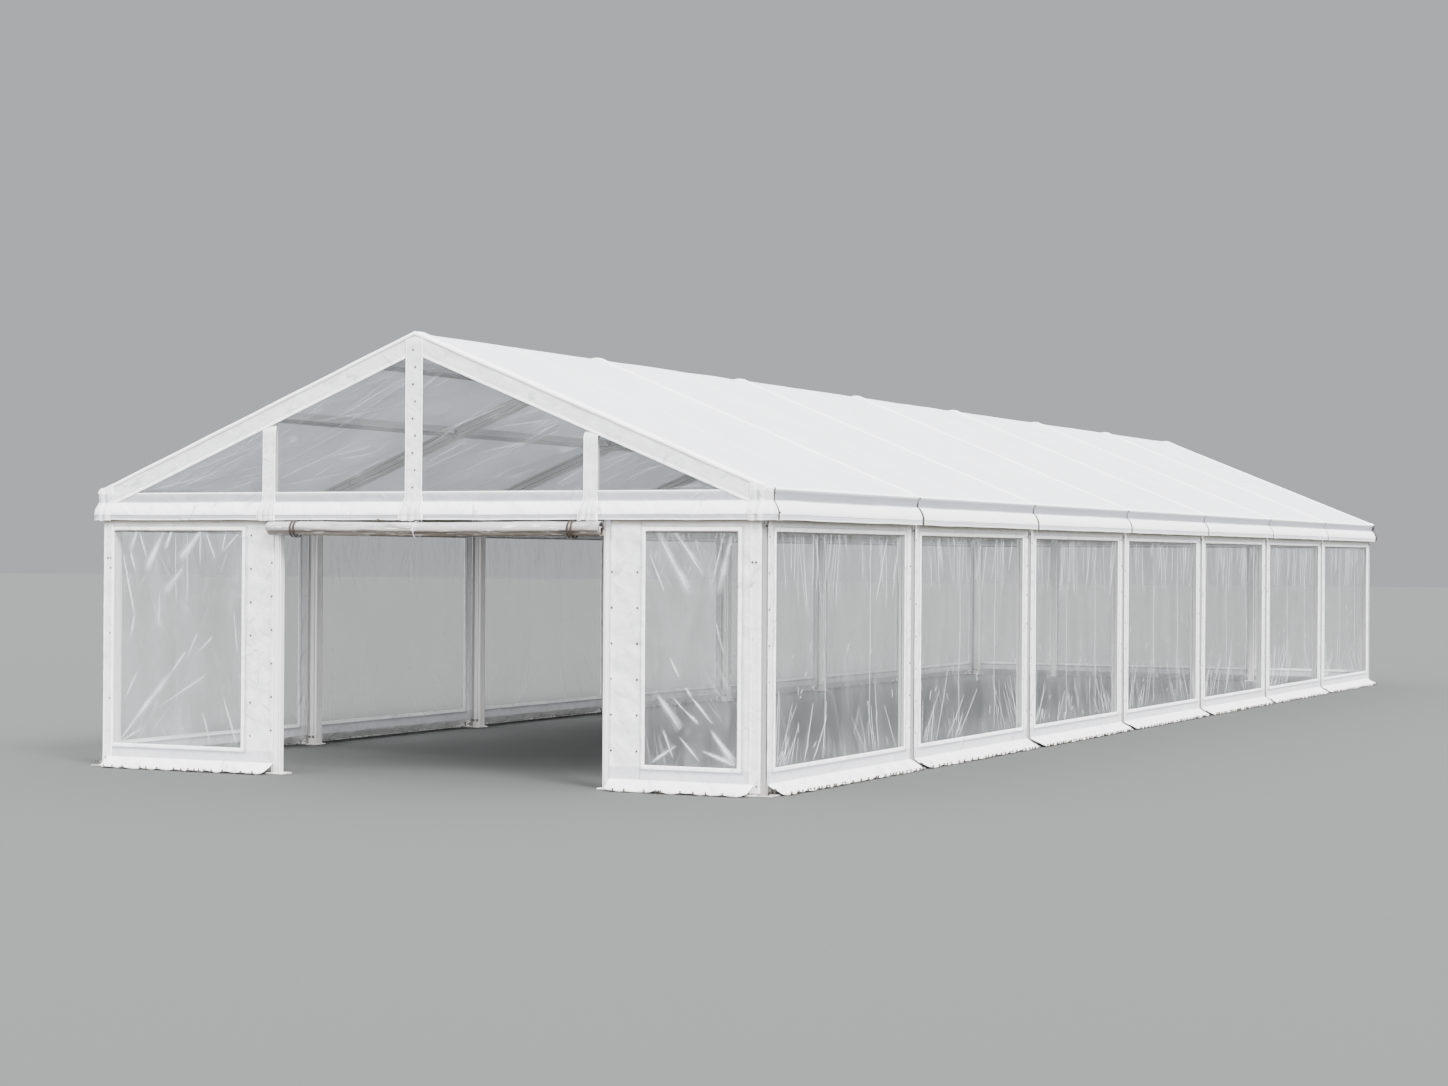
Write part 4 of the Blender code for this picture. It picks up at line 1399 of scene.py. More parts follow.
@dataclass
class RoofCover(Part):
    """One bay of roof: it dips between rafters and purlins, and has a valance along both eaves."""

    number: int
    supports: tuple[float, ...] = (0.0, 0.45, 1.45, 2.975)
    sag_share: float = 0.014
    bead_height: float = 0.009
    bead_offset: float = 0.022
    seam_half: float = 0.018
    slit: float = 0.026
    end_reach: float = 0.0616

    VALANCE = ((0.0375, 0.2352), (0.0402, 0.2342), (0.0410, 0.2310), (0.0412, 0.2200), (0.0405, 0.2080),
               (0.0392, 0.1985), (0.0418, 0.1960), (0.0420, 0.1900), (0.0405, 0.1780), (0.0375, 0.1640),
               (0.0325, 0.1480), (0.0255, 0.1320), (0.0165, 0.1170), (0.0075, 0.1040), (0.0010, 0.0965),
               (-0.0060, 0.0915), (-0.0120, 0.0880), (-0.0155, 0.0840), (-0.0160, 0.0780), (-0.0140, 0.0620),
               (-0.0105, 0.0440), (-0.0065, 0.0260), (-0.0015, 0.0150), (0.0035, 0.0090), (0.0030, 0.0030))
    FASCIA = VALANCE[:13] + ((0.0085, 0.1040), (0.0040, 0.0965), (0.0015, 0.0900), (0.0000, 0.0800),
                             (0.0006, 0.0620),
                             (0.0012, 0.0420), (0.0012, 0.0220))
    NEAR_FRAME = (0.005, 0.011, 0.018, 0.026, 0.034)

    def along_lines(self) -> Array:
        """Distances along the bay, closer together at its frames and at its middle seam."""
        bay = self.tent.bay
        half = [0.0, *self.NEAR_FRAME, 0.042, 0.050, 0.064, 0.085, 0.115, 0.16, 0.22, 0.30, 0.40, 0.52, 0.66,
                0.82, 1.0,
                1.16, 1.30, 1.40, 1.455, 1.478, 1.484, 1.5]
        lines = half + [bay - value for value in reversed(half[:-1])]
        past = [*self.NEAR_FRAME, 0.046, 0.056, self.end_reach]
        if self.number == 0:
            lines = [-value for value in reversed(past)] + lines
        if self.number == self.tent.bay_count - 1:
            lines = lines + [bay + value for value in past]
        return np.array(lines)

    def half_profile(self) -> tuple[Array, Array, Array]:
        """The right half from its hem to the ridge: places across, heights and drops below the roof edge."""
        tent = self.tent
        hem = np.array(self.VALANCE)
        slope = fill_lines((*self.supports, 0.03, 0.06, 0.1, 3.01), 0.08)
        roof = np.concatenate([[3.052, 3.035], slope[::-1]])
        across = np.concatenate([tent.roof_edge + hem[:, 0], roof])
        height = np.concatenate([tent.eave - hem[:, 1], tent.roof_top(roof)])
        drop = np.concatenate([hem[:, 1], np.zeros(len(roof))])
        return across, height, drop

    @staticmethod
    def band(drop: Array, low: float, high: float) -> Array:
        """One between two drops below the roof's edge, and 0 a few millimetres away."""
        return smooth_step((drop - low + 0.004) / 0.006) * smooth_step((high + 0.004 - drop) / 0.006)

    def dip(self, across: Array, along: Array) -> Array:
        """How far the cloth lies above or below its nominal face on the roof."""
        tent = self.tent
        reach = np.abs(across)
        sag = np.zeros(np.broadcast(across, along).shape)
        for low, high in zip(self.supports, self.supports[1:]):
            inside = (reach >= low) & (reach <= high)
            wave = np.sin(math.pi * (reach - low) / (high - low)) ** 2 * self.sag_share * (high - low)
            sag = sag + np.where(inside, wave, 0.0)
        sag = sag * np.sin(math.pi * np.clip(along / tent.bay, 0, 1)) ** 0.7
        near = np.minimum(np.abs(along), np.abs(along - tent.bay))
        bead = self.bead_height * bell(near - self.bead_offset, 0.009) + 0.003 * bell(near, 0.05)
        middle = np.abs(along - tent.bay / 2)
        seam = 0.0016 * smooth_step((self.seam_half + 0.004 - middle) / 0.004)
        bump = 0.007 * bell(near, 0.10) * bell(reach, 0.12)
        loose = Ripple(11 + self.number, 0.7, 1.6)(across, along + 3.0 * self.number)
        fade = np.clip(near / 0.25, 0, 1)
        return -sag + bead + seam + bump + 0.0025 * loose * fade

    def masks(self, across: Array, along: Array, drop: Array) -> dict[str, Array]:
        """Painted highlight on welds, edges and the valance's upturned flare, and painted shade on its
        upright bands and in the gaps at the frames.
        """
        bay, on_roof = self.tent.bay, drop <= 0
        near = np.minimum(np.abs(along), np.abs(along - bay))
        # Painted highlight on the beads, the middle seam, the roof's edges and ends, and the valance's flare
        # and hem edge.
        bright = (bell(near - 0.026, 0.009)
                  + 0.55 * smooth_step((self.seam_half - np.abs(along - bay / 2)) / 0.004))
        bright = bright + smooth_step((np.abs(across) - 3.03) / 0.01) + 1.0 * ((along < 0) | (along > bay))
        bright = np.where(on_roof, bright,
                          0.9 * self.band(drop, 0.094, 0.190) + 0.9 * self.band(drop, 0.226, 0.24))
        # Painted shade in the gap at each frame and on the valance's upright band and hem band.
        dull = np.where(on_roof, 0.8 * bell(near, 0.006), self.band(drop, 0.018, 0.090))
        dull = dull + np.where(on_roof, 0.0, 0.45 * self.band(drop, 0.196, 0.224))
        return {"bright": np.clip(bright, 0, 1), "dull": np.clip(dull, 0, 1)}

    def drawn_in(self, along: Array, drop: Array) -> Array:
        """How far the valance draws back from a near frame, and the roof's end turns down past it."""
        hang_share = smooth_step(drop / 0.10)
        pulls = []
        for at_end, inward in ((self.number == 0, along), (self.number == self.tent.bay_count - 1,
                                                          self.tent.bay - along)):
            pull = self.slit * hang_share * np.clip(1 - inward / 0.3, 0, 1)
            if at_end:
                turned = smooth_step(drop / 0.012) * (self.end_reach + 0.004)
                pull = pull + turned * np.clip(1 - (inward + self.end_reach) / 0.14, 0, 1)
            pulls.append(np.clip(pull, 0, 0.2))
        return pulls[0] - pulls[1]

    def build(self) -> None:
        tent, number = self.tent, self.number
        across, height, drop = (np.concatenate([half, sign * half[:-1][::-1]])
                                for half, sign in zip(self.half_profile(), (-1, 1, 1)))
        along = self.along_lines()
        x, t = np.meshgrid(across, along, indexing="ij")
        z, d = (np.repeat(row[:, None], len(along), axis=1) for row in (height, drop))
        hand, on_roof = np.sign(x), d <= 0
        lift = np.where(on_roof, self.dip(x, t), 0.0) * smooth_step((tent.roof_edge - np.abs(x)) / 0.06)
        x = x + hand * lift * math.sin(tent.pitch)
        z = z + lift * math.cos(tent.pitch) - 0.010 * bell(x, 0.02) * on_roof
        hang_share = smooth_step(d / 0.10)
        folds = Ripple(31 + number, 0.20, 1.0, 0.5)(t, z * 1.5)
        broad = Ripple(51 + number, 0.9)(t, z)
        near = np.clip(np.minimum(t, tent.bay - t) / 0.06, 0, 1)
        x = x + hand * np.where(on_roof, 0.0, (0.0022 * folds + 0.004 * broad * hang_share) * near)
        z = z + np.where(on_roof, 0.0, 0.003 * hang_share * Ripple(71 + number, 0.5)(t, hand))
        y = tent.frame_y(number) + t + self.drawn_in(t, d)
        gap = tent.gap / 2
        y = np.where(t <= 0, y + gap, np.where(t >= tent.bay, y - gap, y))
        name = f"roof_cover_{number + 1}"
        width = 2 * (tent.roof_edge / math.cos(tent.pitch) + 0.24)
        hang(f"{name}_cloth", np.stack([x, y, z], axis=-1), self.masks(x, t, d), 0.004, [name], ROOF_WHITE,
             flat=(float(along[-1] - along[0]), width), held="stretched",
             rests_on=[f"portal_frame_{number + step}_extrusion" for step in (1, 2)])


@dataclass
class WallPanel:
    """A wall panel: a white border round its windows, welded bands, a shaded foot and a ground skirt."""

    name: str
    tent: Tent
    kit: Kit
    side: Side
    plane: float
    start: float
    end: float
    windows: tuple[tuple[float, float], ...]
    top: float
    skirt_height: float = 0.09
    skirt_flare: float = 0.155
    skirt_rows: int = 9
    weld: float = 0.028
    least_area_share: float = 0.31
    scallop_length: float = 0.17
    cut_back: float = 0.012
    eyelet_spacing: float = 0.27
    eyelet_columns: tuple[float, ...] = ()
    seams: tuple[float, ...] = ()
    held_by: tuple[str, ...] = ("portal_frame_1_extrusion",)

    def away(self, across: Array, height: Array) -> Array:
        """Distance from the nearest window, below 0 inside it."""
        tent = self.tent
        found = np.full(np.broadcast(across, height).shape, 9.0)
        for low, high in self.windows:
            beside = np.maximum(low - across, across - high)
            above = np.maximum(tent.sill - height, height - tent.window_top)
            found = np.minimum(found, np.maximum(beside, above))
        return found

    @property
    def weld_steps(self) -> tuple[float, ...]:
        """Distances of the lines round a window from its edge."""
        return (0.0, 0.008, self.weld, self.weld + 0.003, self.weld + 0.011)

    @property
    def hem_steps(self) -> tuple[float, ...]:
        """Distances of the lines along a hem from the panel's edge."""
        return (0.0, 0.005, self.weld, self.weld + 0.003)

    def across_lines(self) -> Array:
        """Lines across the panel, with its hems and welds among them."""
        marks = [self.start + step for step in self.hem_steps] + [self.end - step for step in self.hem_steps]
        for low, high in self.windows:
            for step in self.weld_steps:
                marks += [low - step, high + step]
        for seam in self.seams:
            marks += [seam - 0.016, seam - 0.010, seam - 0.004, seam, seam + 0.006]
        return fill_lines([mark for mark in marks if self.start <= mark <= self.end], 0.03)

    def height_lines(self) -> Array:
        """Heights above the skirt, with the welds and the top hem among them."""
        tent = self.tent
        marks = [self.skirt_height, self.skirt_height + 0.006, *HEM_SHADOW_LINES, self.top - 0.031,
                 self.top - 0.028,
                 self.top]
        for step in self.weld_steps:
            marks += [tent.sill - step, tent.window_top + step]
        return fill_lines(marks, 0.03)

    def skirt(self, across: Array) -> tuple[Array, Array, Array]:
        """The skirt's rows from its hem up: places across, flares and heights."""
        seed = seed_of(self.name)
        down = np.linspace(1.0, 0.0, self.skirt_rows + 1)[:-1, None]
        u = np.repeat(across[None, :], self.skirt_rows, axis=0)
        from_start, from_end = u - self.start, self.end - u
        nearest = np.minimum(from_start, from_end)
        curl = bell(nearest, 0.035)
        wave = Ripple(seed, 0.21)(u, down * 0.1)
        lift = Ripple(seed + 1, 0.17)(u, 0.0)
        out = self.skirt_flare * down ** 1.1 * (0.90 + 0.10 * wave) - 0.030 * curl * down
        height = self.skirt_height * (1 - down) ** 0.85 + 0.006 * down
        scallop = 0.5 + 0.5 * np.sin(u * 2 * math.pi / self.scallop_length + 2.5 * lift)
        height = height + down ** 2 * (0.012 * np.clip(lift + 0.1, 0, 1) + 0.012 * curl
                                       + 0.008 * scallop ** 2)
        height = height + 0.006 * np.sin(math.pi * down) * wave
        pull = self.cut_back * down ** 1.5
        u = u + pull * np.exp(-from_start / 0.09) - pull * np.exp(-from_end / 0.09)
        return u, np.maximum(out, 0.0), np.maximum(height, 0.0055)

    def surface(self) -> tuple[Array, Array, Array, Array, dict[str, Array]]:
        """The panel's grid: places across, outs, heights, kept cells and masks."""
        tent = self.tent
        seed = seed_of(self.name)
        across, heights = self.across_lines(), self.height_lines()
        u, z = np.meshgrid(across, heights)
        away = self.away(u, z)
        calm = smooth_step(away / 0.05)
        edge = np.minimum(u - self.start, self.end - u)
        hem = np.minimum(edge, self.top - z)
        small = Ripple(seed + 2, 0.13, 2.5, 0.8)(u, z) + 0.6 * Ripple(seed + 8, 0.11, 2.5, -0.9)(u, z)
        broad = Ripple(seed + 3, 0.6)(u, z)
        out = 0.0016 * ((away < self.weld + 0.001) | (hem < 0.029))
        out = out + calm * (0.0052 * small + 0.0035 * broad) * smooth_step(edge / 0.02)
        out = out - 0.004 * (1 - smooth_step(edge / 0.005))
        rim = 0.0016 * Ripple(seed + 4, 0.16)(z, 0.0) * np.exp(-edge / 0.03)
        u = u + rim * np.where(u - self.start < self.end - u, 1.0, -1.0)
        skirt_u, skirt_out, skirt_z = self.skirt(across)
        middle_u = (across[:-1] + across[1:]) / 2
        middle_z = (heights[:-1] + heights[1:]) / 2
        keep = self.away(middle_u[None, :], middle_z[:, None]) > 0
        whole = np.ones((self.skirt_rows, len(middle_u)), bool)
        welded = (away < self.weld + 0.001) & (away > -0.001)
        # Painted shade on the foot above the skirt and on the top under the eaves, and painted shade lines
        # beside the welds and seams.
        dull = 0.45 * smooth_step((0.19 - z) / 0.02) + 0.25 * smooth_step((z - 1.995) / 0.02) + 0.0 * u
        line = bell(away - self.weld - 0.007, 0.006)
        for seam in self.seams:
            out = out + 0.003 * bell(u - seam + 0.005, 0.005)
            line = np.maximum(line, bell(u - seam - 0.002, 0.0045))
        # Painted shadow under the roof's hem.
        stain = painted_hem_shadow(z)
        face = self.plane + tent.sheet_face
        all_u, all_out, all_z = (np.vstack([skirt_u, u]), face + np.vstack([skirt_out, out]),
                                 np.vstack([skirt_z, z]))
        # Painted highlight on the upturned skirt and the welded bands, and painted shadow along the skirt's
        # hem on the ground.
        masks = {"bright": np.vstack([np.full(skirt_u.shape, 0.75), 0.9 * welded]),
                 "dull": np.vstack([np.zeros(skirt_u.shape), np.clip(dull * ~welded + 0.9 * line, 0, 1)]),
                 "stain": np.vstack([0.5 * (skirt_z < 0.012), np.clip(stain, 0, 0.85)])}
        return all_u, all_out, all_z, np.vstack([whole, keep]), masks

    def flat_size(self) -> dict[str, object]:
        """The cut sheet's flat size and area without windows, or a strip of that area if little is left."""
        width = self.end - self.start
        height = self.top - self.skirt_height + math.hypot(self.skirt_height, self.skirt_flare)
        area = width * height
        area -= sum((high - low) for low, high in self.windows) * (self.tent.window_top - self.tent.sill)
        if area < self.least_area_share * width * height:
            return {"flat": (1.0, area)}
        return {"flat": (width, height), "area": area}

    def eyelets(self) -> None:
        """Set the eyelets along both edges and any further columns."""
        heights = np.arange(0.30, self.top - 0.12, self.eyelet_spacing)
        face = self.plane + self.tent.sheet_face + 0.0016
        for order, column in enumerate((self.start + 0.018, self.end - 0.018, *self.eyelet_columns)):
            shifted = heights + (0.05 if order % 2 else 0.0)
            self.kit.eyelets.add(self.side.place(np.full(len(shifted), column), face, shifted),
                                 self.side.turn)

    def hem_pegs(self) -> None:
        """Peg the skirt down where its hem is drawn up."""
        across = np.arange(self.start + 0.06, self.end - 0.06, 0.006)
        lift = Ripple(seed_of(self.name) + 1, 0.17)(across, 0.0)
        drawn = np.sin(across * 2 * math.pi / self.scallop_length + 2.5 * lift)
        highest = np.flatnonzero((drawn[1:-1] > drawn[:-2]) & (drawn[1:-1] >= drawn[2:])) + 1
        out = self.plane + self.tent.sheet_face + self.skirt_flare * 0.93
        self.kit.hem_pegs.add(self.side.place(across[highest], out, np.full(len(highest), 0.001)),
                              (0.0, 0.0, 0.0))

    def build(self) -> bpy.types.Object:
        u, out, z, keep, masks = self.surface()
        item = hang(f"{self.name}_cloth", self.side.place(u, out, z), masks, 0.004, [self.name], keep=keep,
                    held="hung", rests_on=list(self.held_by), **self.flat_size())
        self.eyelets()
        self.hem_pegs()
        return item


# Film


@dataclass(frozen=True)
class Fold:
    """A sharp-ridged fold in clear film, from one point to another."""

    start: tuple[float, float]
    end: tuple[float, float]
    width: float
    height: float = 0.004
    # How milky the fold is; this whiteness is also painted highlight.
    milk_and_glint: float = 1.0
    band: float = 0.22
    bend: float = 0.0

    @property
    def length(self) -> float:
        """From its start to its end."""
        return math.dist(self.start, self.end)

    def shape(self, across: Array, up: Array, least: float = 0.0) -> tuple[Array, Array]:
        """The fold's lift and the milkiness along it.

        Args:
            across: Places across the film.
            up: Heights.
            least: Least width that the film's own cells can show.

        Returns:
            The lift and the mask.
        """
        length = self.length
        way = (np.array(self.end) - np.array(self.start)) / length
        a, b = across - self.start[0], up - self.start[1]
        along = (a * way[0] + b * way[1]) / length
        beside = a * -way[1] + b * way[0] - self.bend * 4 * along * (1 - along)
        width = np.maximum(self.width * (0.35 + 0.65 * np.clip(along, 0, 1)), least)
        ridge = np.clip(1 - np.abs(beside) / width, 0, 1)
        fade = np.clip(np.sin(math.pi * np.clip(0.06 + 0.94 * along, 0, 1)), 0, 1) ** 0.6
        fade = fade * ((along > -0.06) & (along < 1))
        facet = smooth_step(ridge / 0.15) * np.where(beside > 0, 1.0, 0.45) * self.band
        return self.height * ridge * fade, (0.7 * ridge ** 3 + facet) * fade * self.milk_and_glint


def traced(*rows: tuple[float, ...]) -> tuple[Fold, ...]:
    """Folds from rows of start, end and width, then band and milk where they aren't a plain fold's."""
    return tuple(Fold((x0, z0), (x1, z1), width, **dict(zip(("band", "milk_and_glint"), more)))
                 for x0, z0, x1, z1, width, *more in rows)


LEFT_FOLDS = traced(
    (-2.67, 1.96, -2.74, 1.79, 0.030, 0.5), (-2.74, 1.80, -2.68, 1.61, 0.022, 0.4),
    (-2.645, 1.95, -2.573, 1.73, 0.014), (-2.40, 1.95, -2.595, 1.62, 0.050, 0.45, 0.9),
    (-2.315, 1.97, -2.39, 1.80, 0.024, 0.6), (-2.02, 1.97, -2.25, 1.71, 0.055, 0.4),
    (-2.20, 1.66, -2.39, 1.455, 0.050, 0.35), (-1.98, 1.95, -1.88, 1.72, 0.014),
    (-1.78, 1.95, -1.82, 1.78, 0.016),
    (-1.65, 1.95, -1.81, 1.78, 0.016), (-2.28, 1.95, -2.275, 1.36, 0.012, 0.22, 0.6),
    (-2.16, 1.95, -2.165, 1.36, 0.012, 0.22, 0.6), (-2.035, 1.95, -2.03, 1.66, 0.012, 0.22, 0.6),
    (-2.44, 1.46, -2.445, 1.15, 0.012, 0.22, 0.7), (-2.81, 1.78, -2.69, 1.25, 0.016),
    (-2.69, 1.27, -2.73, 1.07, 0.022, 0.4), (-2.83, 0.22, -2.315, 0.79, 0.040, 0.35),
    (-2.33, 0.77, -2.17, 0.97, 0.020), (-2.83, 0.21, -2.61, 0.32, 0.022), (-2.78, 0.56, -2.66, 0.78, 0.018),
    (-2.43, 0.51, -1.98, 0.77, 0.016), (-2.15, 0.93, -2.06, 1.12, 0.016), (-2.05, 0.96, -1.91, 1.09, 0.016),
    (-1.66, 0.22, -1.80, 0.62, 0.020, 0.22, 0.7), (-1.70, 1.30, -1.66, 0.95, 0.012, 0.22, 0.6),
    (-1.92, 0.22, -2.00, 0.48, 0.014, 0.22, 0.7),
)
RIGHT_FOLDS = traced(
    (2.15, 1.93, 2.42, 1.47, 0.048, 0.5, 0.75), (2.28, 1.96, 2.53, 1.62, 0.036, 0.45, 0.75),
    (2.75, 1.92, 2.64, 1.50, 0.042, 0.5, 0.75), (2.69, 1.94, 2.59, 1.55, 0.014, 0.22, 0.8),
    (2.07, 1.80, 2.20, 1.50, 0.014, 0.22, 0.7), (2.25, 1.01, 2.33, 0.86, 0.014),
    (2.38, 0.79, 2.43, 0.72, 0.018),
    (2.42, 0.73, 2.61, 0.52, 0.018, 0.4), (2.28, 0.71, 2.37, 0.62, 0.018),
    (2.36, 0.63, 2.49, 0.52, 0.018, 0.4),
    (2.15, 0.72, 2.34, 0.47, 0.050, 0.5, 0.85), (2.19, 0.47, 2.28, 0.26, 0.020, 0.4),
    (2.33, 0.42, 2.50, 0.24, 0.018, 0.4), (2.60, 0.46, 2.78, 0.24, 0.040, 0.5),
    (2.52, 0.32, 2.80, 0.22, 0.026, 0.4),
    (2.10, 0.22, 2.30, 0.35, 0.026, 0.4), (2.62, 1.30, 2.70, 1.02, 0.014, 0.22, 0.6),
)


class Gathering(Enum):
    """How a pane of film is creased."""

    WALL = "wall"
    CORNER = "corner"
    GABLE = "gable"


@dataclass
class FilmPane:
    """One pane of clear film with folds that start where it is held."""

    seed: int
    low: float
    high: float
    foot: float
    head: Callable[[Array], Array]
    gathering: Gathering = Gathering.WALL
    drawn: tuple[Fold, ...] = ()
    cell: float = 0.022
    lap: float = 0.012
    # Width of the painted shadow strip along the pane's edge.
    edging: float = 0.011
    rib_clearance: float = 0.004

    @staticmethod
    def loose(rng: np.random.Generator, start: tuple[float, float], end: tuple[float, float],
              widest: tuple[float, float], milk_and_glint: tuple[float, float], band: float, bend: float = 0.0) -> Fold:
        """Draw a fold between two places whose width, height, milk and bend are left to chance."""
        width = rng.uniform(*widest)
        height = rng.choice([-1, 1]) * rng.uniform(0.002, 0.005)
        return Fold(start, end, width, height, rng.uniform(*milk_and_glint), band,
                    rng.uniform(-bend, bend) if bend else 0.0)

    def folds(self) -> list[Fold]:
        """Draw the folds of this pane."""
        if self.drawn:
            return list(self.drawn)
        rng = np.random.default_rng(self.seed)
        width, middle = self.high - self.low, (self.low + self.high) / 2
        top = float(self.head(np.array(middle)))
        tall = top - self.foot
        found = []
        if self.gathering is Gathering.GABLE:
            for _ in range(int(7 + 8 * width)):
                x = rng.uniform(self.low - 0.4, self.high)
                z = self.foot + rng.uniform(-0.02, 0.95) * (float(self.head(np.array(x))) - self.foot)
                reach, angle = rng.uniform(0.4, 1.3), math.radians(rng.uniform(6, 34))
                found.append(self.loose(rng, (x, z),
                                        (x + reach * math.cos(angle), z + reach * math.sin(angle)),
                                        (0.012, 0.03), (0.2, 0.5), 0.08))
            return found
        for _ in range(int(12 * width)):
            x = rng.uniform(self.low, self.high)
            lean = (middle - x) / width * rng.uniform(-0.1, 0.9) + rng.uniform(-0.3, 0.3)
            reach = rng.uniform(0.06, 0.34) * tall
            drop = rng.uniform(0.0, 0.05)
            found.append(self.loose(rng, (x, top - drop), (x + lean * reach, top - drop - reach),
                                    (0.016, 0.030),
                                    (0.5, 1.0), 0.10, 0.012))
        for _ in range(int(9 * width)):
            corner = self.low if rng.random() < 0.5 else self.high
            sign = 1 if corner == self.low else -1
            x = corner + sign * rng.uniform(0, 0.5) ** 1.5 * width
            reach = rng.uniform(0.05, 0.40) * tall
            angle = rng.uniform(0.05, 0.9) * sign
            end = (x + math.sin(angle) * reach, self.foot + math.cos(angle) * reach)
            found.append(self.loose(rng, (x, self.foot), end, (0.016, 0.028), (0.5, 1.0), 0.10, 0.012))
        for _ in range(int(9 * width)):
            x, z = rng.uniform(self.low, self.high), self.foot + rng.uniform(0.05, 0.6) ** 1.3 * tall
            reach, angle = rng.uniform(0.03, 0.09), rng.uniform(-1.2, 1.2)
            found.append(Fold((x, z), (x + math.sin(angle) * reach, z + math.cos(angle) * reach), 0.012,
                              0.002,
                              rng.uniform(0.7, 1.0), 0.0))
        for share in (0.36, 0.71) if width > 2 else (0.55,):
            x = self.low + share * width
            found.append(Fold((x, top), (x + rng.uniform(-0.01, 0.01), self.foot), 0.02, 0.003, 0.8, 0.05))
        return found

    def relief(self, u: Array, z: Array) -> tuple[Array, Array]:
        """How far the film lies out at some places, and the milkiness of its folds."""
        border = np.minimum(np.minimum(u - self.low, self.high - u),
                            np.minimum(self.head(u) - z, z - self.foot))
        lift, crease = np.zeros(u.shape), np.zeros(u.shape)
        least = 0.0 if self.drawn else 1.3 * self.cell
        for fold in self.folds():
            rise, milk_and_glint = fold.shape(u, z, least)
            lift, crease = lift + rise, np.maximum(crease, milk_and_glint)
        lift = (lift * smooth_step(border / 0.04)
                + 0.006 * Ripple(self.seed + 6, 0.8)(u, z) * smooth_step(border / 0.2))
        return lift, crease * smooth_step(border / 0.01)

    def ribs(self, draft: Draft, side: Side, out: float) -> None:
        """Add the sharp crest of every fold as a narrow rib on the film."""
        top = float(np.max(self.head(np.linspace(self.low, self.high, 9))))
        widest = 0.0042 if self.drawn else 0.0030
        found = []
        for fold in self.folds():
            count = max(4, int(fold.length / 0.05))
            share = np.linspace(0.03, 0.97, count)
            way = (np.array(fold.end) - np.array(fold.start)) / fold.length
            crest = np.array(fold.start) + np.outer(share * fold.length, way)
            crest = crest + np.outer(fold.bend * 4 * share * (1 - share), [-way[1], way[0]])
            x, z = crest.T
            within = np.minimum(np.minimum(x - self.low, self.high - x),
                                np.minimum(z - self.foot, np.minimum(self.head(x), top) - z))
            crest = crest[within > self.rib_clearance]
            if len(crest) < 3:
                continue
            half = widest * np.sin(math.pi * np.linspace(0.04, 0.96, len(crest))) ** 0.6
            across = np.array([-1.0, 0.0, 1.0])[:, None] * half
            found.append((crest[None, :, 0] - across * way[1], crest[None, :, 1] + across * way[0],
                          fold.milk_and_glint))
        if not found:
            return
        lifts = self.relief(np.hstack([u for u, _, _ in found]), np.hstack([z for _, z, _ in found]))[0]
        done = 0
        for u, z, milk_and_glint in found:
            rise = lifts[:, done:done + u.shape[1]] + np.array([0.0004, 0.0022, 0.0004])[:, None]
            done += u.shape[1]
            mask = np.array([0.2, 1.0, 0.2])[:, None] * milk_and_glint * np.ones(u.shape)
            flat = np.stack([u + self.seed % 17, z], axis=-1)
            draft.grid(side.place(u, out + rise, z), None, {"crease": mask, "tied": 0.3}, flat)

    def add_to(self, draft: Draft, side: Side, out: float) -> float:
        """Add the pane to a draft.

        Args:
            draft: The piece that takes it.
            side: Its side of the tent.
            out: Distance of its outer face from the middle of the tent.

        Returns:
            Its flat area.
        """
        low, high = self.low - self.lap, self.high + self.lap
        across = np.linspace(low, high, max(4, int((high - low) / self.cell)))
        tallest = float(np.max(self.head(across))) + self.lap - (self.foot - self.lap)
        share = np.linspace(0, 1, max(4, int(tallest / self.cell)))[:, None]
        foot = self.foot - self.lap
        head = np.maximum(self.head(across) + self.lap, foot + 0.004)
        u = np.repeat(across[None, :], len(share), axis=0)
        z = foot + share * (head - foot)[None, :]
        lift, crease = self.relief(u, z)
        patchy = 0.35 + 0.65 * smooth_step(0.6 + 0.8 * Ripple(self.seed + 5, 0.25)(u, z))
        tied = np.clip(np.exp(-((head - z) / 0.35)) + np.exp(-((z - foot) / 0.30)), 0, 1)
        if self.gathering is Gathering.GABLE:
            tied = np.full(u.shape, 0.8)
        share_seen = 1.0 if self.drawn else 0.2
        masks = {"crease": np.clip(crease * patchy * share_seen, 0, 1), "tied": tied}
        flat = np.stack([u + self.seed % 17, z], axis=-1)
        draft.grid(side.place(u, out + lift, z), None, masks, flat)
        self.ribs(draft, side, out)
        # A strip of painted shadow along the top of a wall pane and along the foot of a gable pane.
        if self.gathering is Gathering.GABLE:
            low_line, high_line = self.foot + 0.0 * across, np.minimum(self.foot + self.edging,
                                                                       head - self.lap)
        else:
            low_line, high_line = head - self.lap - self.edging, head - self.lap
        draft.grid(side.place(across[None, :], out + 0.0008, np.stack([low_line, high_line])), None,
                   {"edging": 1.0})
        return float(np.trapz(head - foot, across))


@dataclass
class WindowFilm:
    """A piece of clear film made of one or more panes."""

    name: str
    tent: Tent
    side: Side
    plane: float
    panes: list[FilmPane]
    finish: Finish = WALL_FILM
    stands_for: tuple[str, ...] = ()

    def build(self, rests_on: Sequence[str]) -> None:
        draft = Draft()
        out = self.plane + self.tent.gap + self.tent.film
        area = sum(pane.add_to(draft, self.side, out) for pane in self.panes)
        item = settle(self.name, draft, self.finish, self.stands_for, 0.001, math.radians(60))
        tall = max(float(np.max(pane.head(np.linspace(pane.low, pane.high, 9)))) - pane.foot
                   for pane in self.panes)


# Walls


